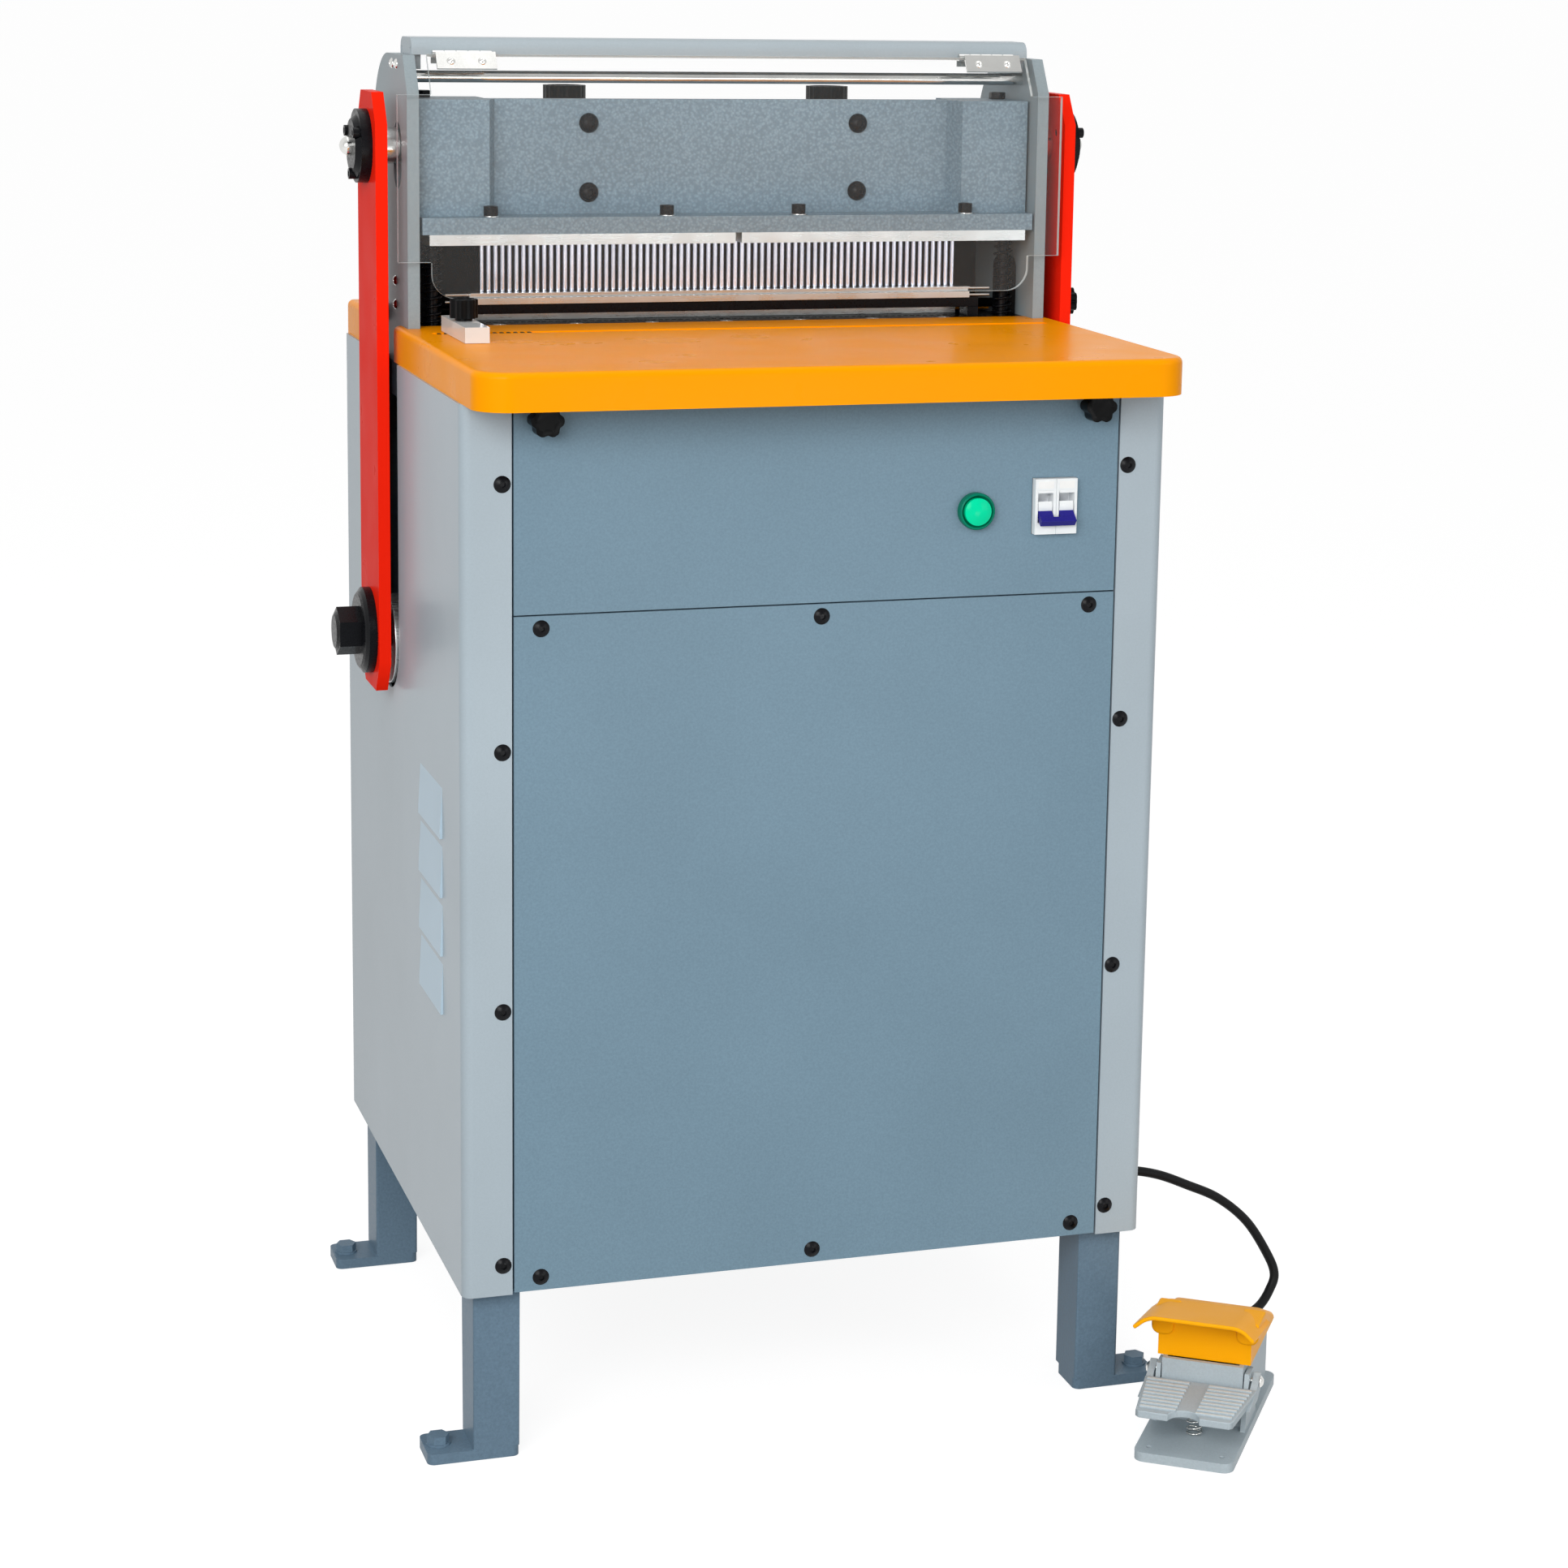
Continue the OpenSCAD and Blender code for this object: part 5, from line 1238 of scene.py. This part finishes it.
def studio_world(level):
    """Even room light; the camera and clear plastic see white, and bright metal sees the white backdrop."""
    world = bpy.data.worlds.new("studio")
    bpy.context.scene.world = world
    world.use_nodes = True
    tree = world.node_tree
    tree.nodes.clear()
    path = add(tree, "ShaderNodeLightPath")
    through = add(tree, "ShaderNodeMath", {"operation": "MAXIMUM"},
                  {0: path.outputs["Is Camera Ray"], 1: path.outputs["Is Transmission Ray"]})
    plain = add(tree, "ShaderNodeMapRange", {"To Min": level, "To Max": 1.0}, {"Value": through.outputs[0]})
    # In a mirror the backdrop behind the machine is white, and the room in front of it is dimmer
    ray = add(tree, "ShaderNodeTexCoord").outputs["Generated"]
    way = add(tree, "ShaderNodeSeparateXYZ", {}, {0: ray})
    room = add(tree, "ShaderNodeMapRange", {"From Min": -0.7, "From Max": 0.1, "To Min": 0.6, "To Max": 1.0},
               {"Value": way.outputs["Y"]})
    strength = add(tree, "ShaderNodeMix", {"data_type": "FLOAT"},
                   {0: path.outputs["Is Glossy Ray"], 2: plain.outputs[0], 3: room.outputs[0]})
    shine = add(tree, "ShaderNodeBackground", {"Color": (1, 1, 1, 1)}, {"Strength": strength.outputs[0]})
    add(tree, "ShaderNodeOutputWorld", {}, {"Surface": shine.outputs[0]})


def floor_paint():
    """Matt white floor that looks white to the camera and still takes the shadow."""
    grey, lift = 0.25, 0.88
    material = bpy.data.materials.new("studio floor")
    material.use_nodes = True
    tree = material.node_tree
    tree.nodes.clear()
    path = add(tree, "ShaderNodeLightPath")
    seen = add(tree, "ShaderNodeMath", {"operation": "MAXIMUM"},
               {0: path.outputs["Is Camera Ray"], 1: path.outputs["Is Glossy Ray"]})
    seen = add(tree, "ShaderNodeMath", {"operation": "MAXIMUM"},
               {0: seen.outputs[0], 1: path.outputs["Is Transmission Ray"]})
    matt = add(tree, "ShaderNodeBsdfDiffuse", {"Color": (grey, grey, grey, 1)})
    glow = add(tree, "ShaderNodeEmission", {"Color": (1, 1, 1, 1), "Strength": lift})
    white = add(tree, "ShaderNodeAddShader", {}, {0: matt.outputs[0], 1: glow.outputs[0]})
    both = add(tree, "ShaderNodeMixShader", {}, {0: seen.outputs[0], 1: matt.outputs[0], 2: white.outputs[0]})
    add(tree, "ShaderNodeOutputMaterial", {}, {"Surface": both.outputs[0]})
    return material


class PUNCH_OT_stage(bpy.types.Operator):
    """Set the floor, the lights and the camera"""
    bl_idname = "punch.stage"
    bl_label = "Stage"

    def execute(self, context):
        clear_selection()
        bpy.ops.mesh.primitive_plane_add(size=400, location=(0, 0, -0.0005))
        bpy.ops.object.transform_apply(location=True, rotation=True, scale=True)
        floor = context.object
        floor.name = "studio_floor"
        floor.data.materials.append(floor_paint())
        studio_world(level=0.42)
        # After the name: where it stands, what it is aimed at, its size in metres and its watts
        soft_light("key", (-1.7, -2.8, 1.9), (0, 0, 0.7), 1.8, 68)
        soft_light("window", (-1.7, -1.2, 1.35), (-0.27, -0.15, 0.85), 0.8, 4.5)
        soft_light("fill", (2.4, -2.6, 1.5), (0, 0, 0.6), 1.8, 18)
        soft_light("top", (0.2, 0.2, 3.2), (0, 0, 0.8), 2.2, 14)
        soft_light("low fill", (0.45, -1.9, 0.35), (0.3, -0.3, 0.08), 0.6, 5)
        place_camera()
        context.scene.view_settings.view_transform = "Standard"
        return {"FINISHED"}


PIECES = (
    PUNCH_OT_finishes, PUNCH_OT_cord, PUNCH_OT_cabinet, PUNCH_OT_panel_screws, PUNCH_OT_table, PUNCH_OT_head,
    PUNCH_OT_beam, PUNCH_OT_pins, PUNCH_OT_die_set, PUNCH_OT_springs, PUNCH_OT_links, PUNCH_OT_shield,
    PUNCH_OT_lamp, PUNCH_OT_breaker, PUNCH_OT_knobs, PUNCH_OT_lay_guide, PUNCH_OT_pedal, PUNCH_OT_drive,
    PUNCH_OT_stage,
)


class PUNCH_PT_panel(bpy.types.Panel):
    """Sidebar panel with the settings and the steps in order"""
    bl_idname = "PUNCH_PT_panel"
    bl_label = "Paper punch"
    bl_space_type = "VIEW_3D"
    bl_region_type = "UI"
    bl_category = "Punch"

    def draw(self, context):
        for group in (context.scene.punch_colours, context.scene.punch_sizes):
            for name in group.bl_rna.properties.keys():
                if name not in ("rna_type", "name"):
                    self.layout.prop(group, name)
        for step in PIECES:
            self.layout.operator(step.bl_idname)


CLASSES = (PunchColours, PunchSizes, *PIECES, PUNCH_PT_panel)


def register():
    """Adds the classes and the scene's settings."""
    for item in CLASSES:
        bpy.utils.register_class(item)
    bpy.types.Scene.punch_colours = bpy.props.PointerProperty(type=PunchColours)
    bpy.types.Scene.punch_sizes = bpy.props.PointerProperty(type=PunchSizes)


def unregister():
    """Takes them out again."""
    del bpy.types.Scene.punch_sizes
    del bpy.types.Scene.punch_colours
    for item in reversed(CLASSES):
        bpy.utils.unregister_class(item)


def main():
    """Builds everything in order."""
    register()
    for step in PIECES:
        group, name = step.bl_idname.split(".")
        getattr(getattr(bpy.ops, group), name)()
    clear_selection()


if __name__ == "__main__":
    main()
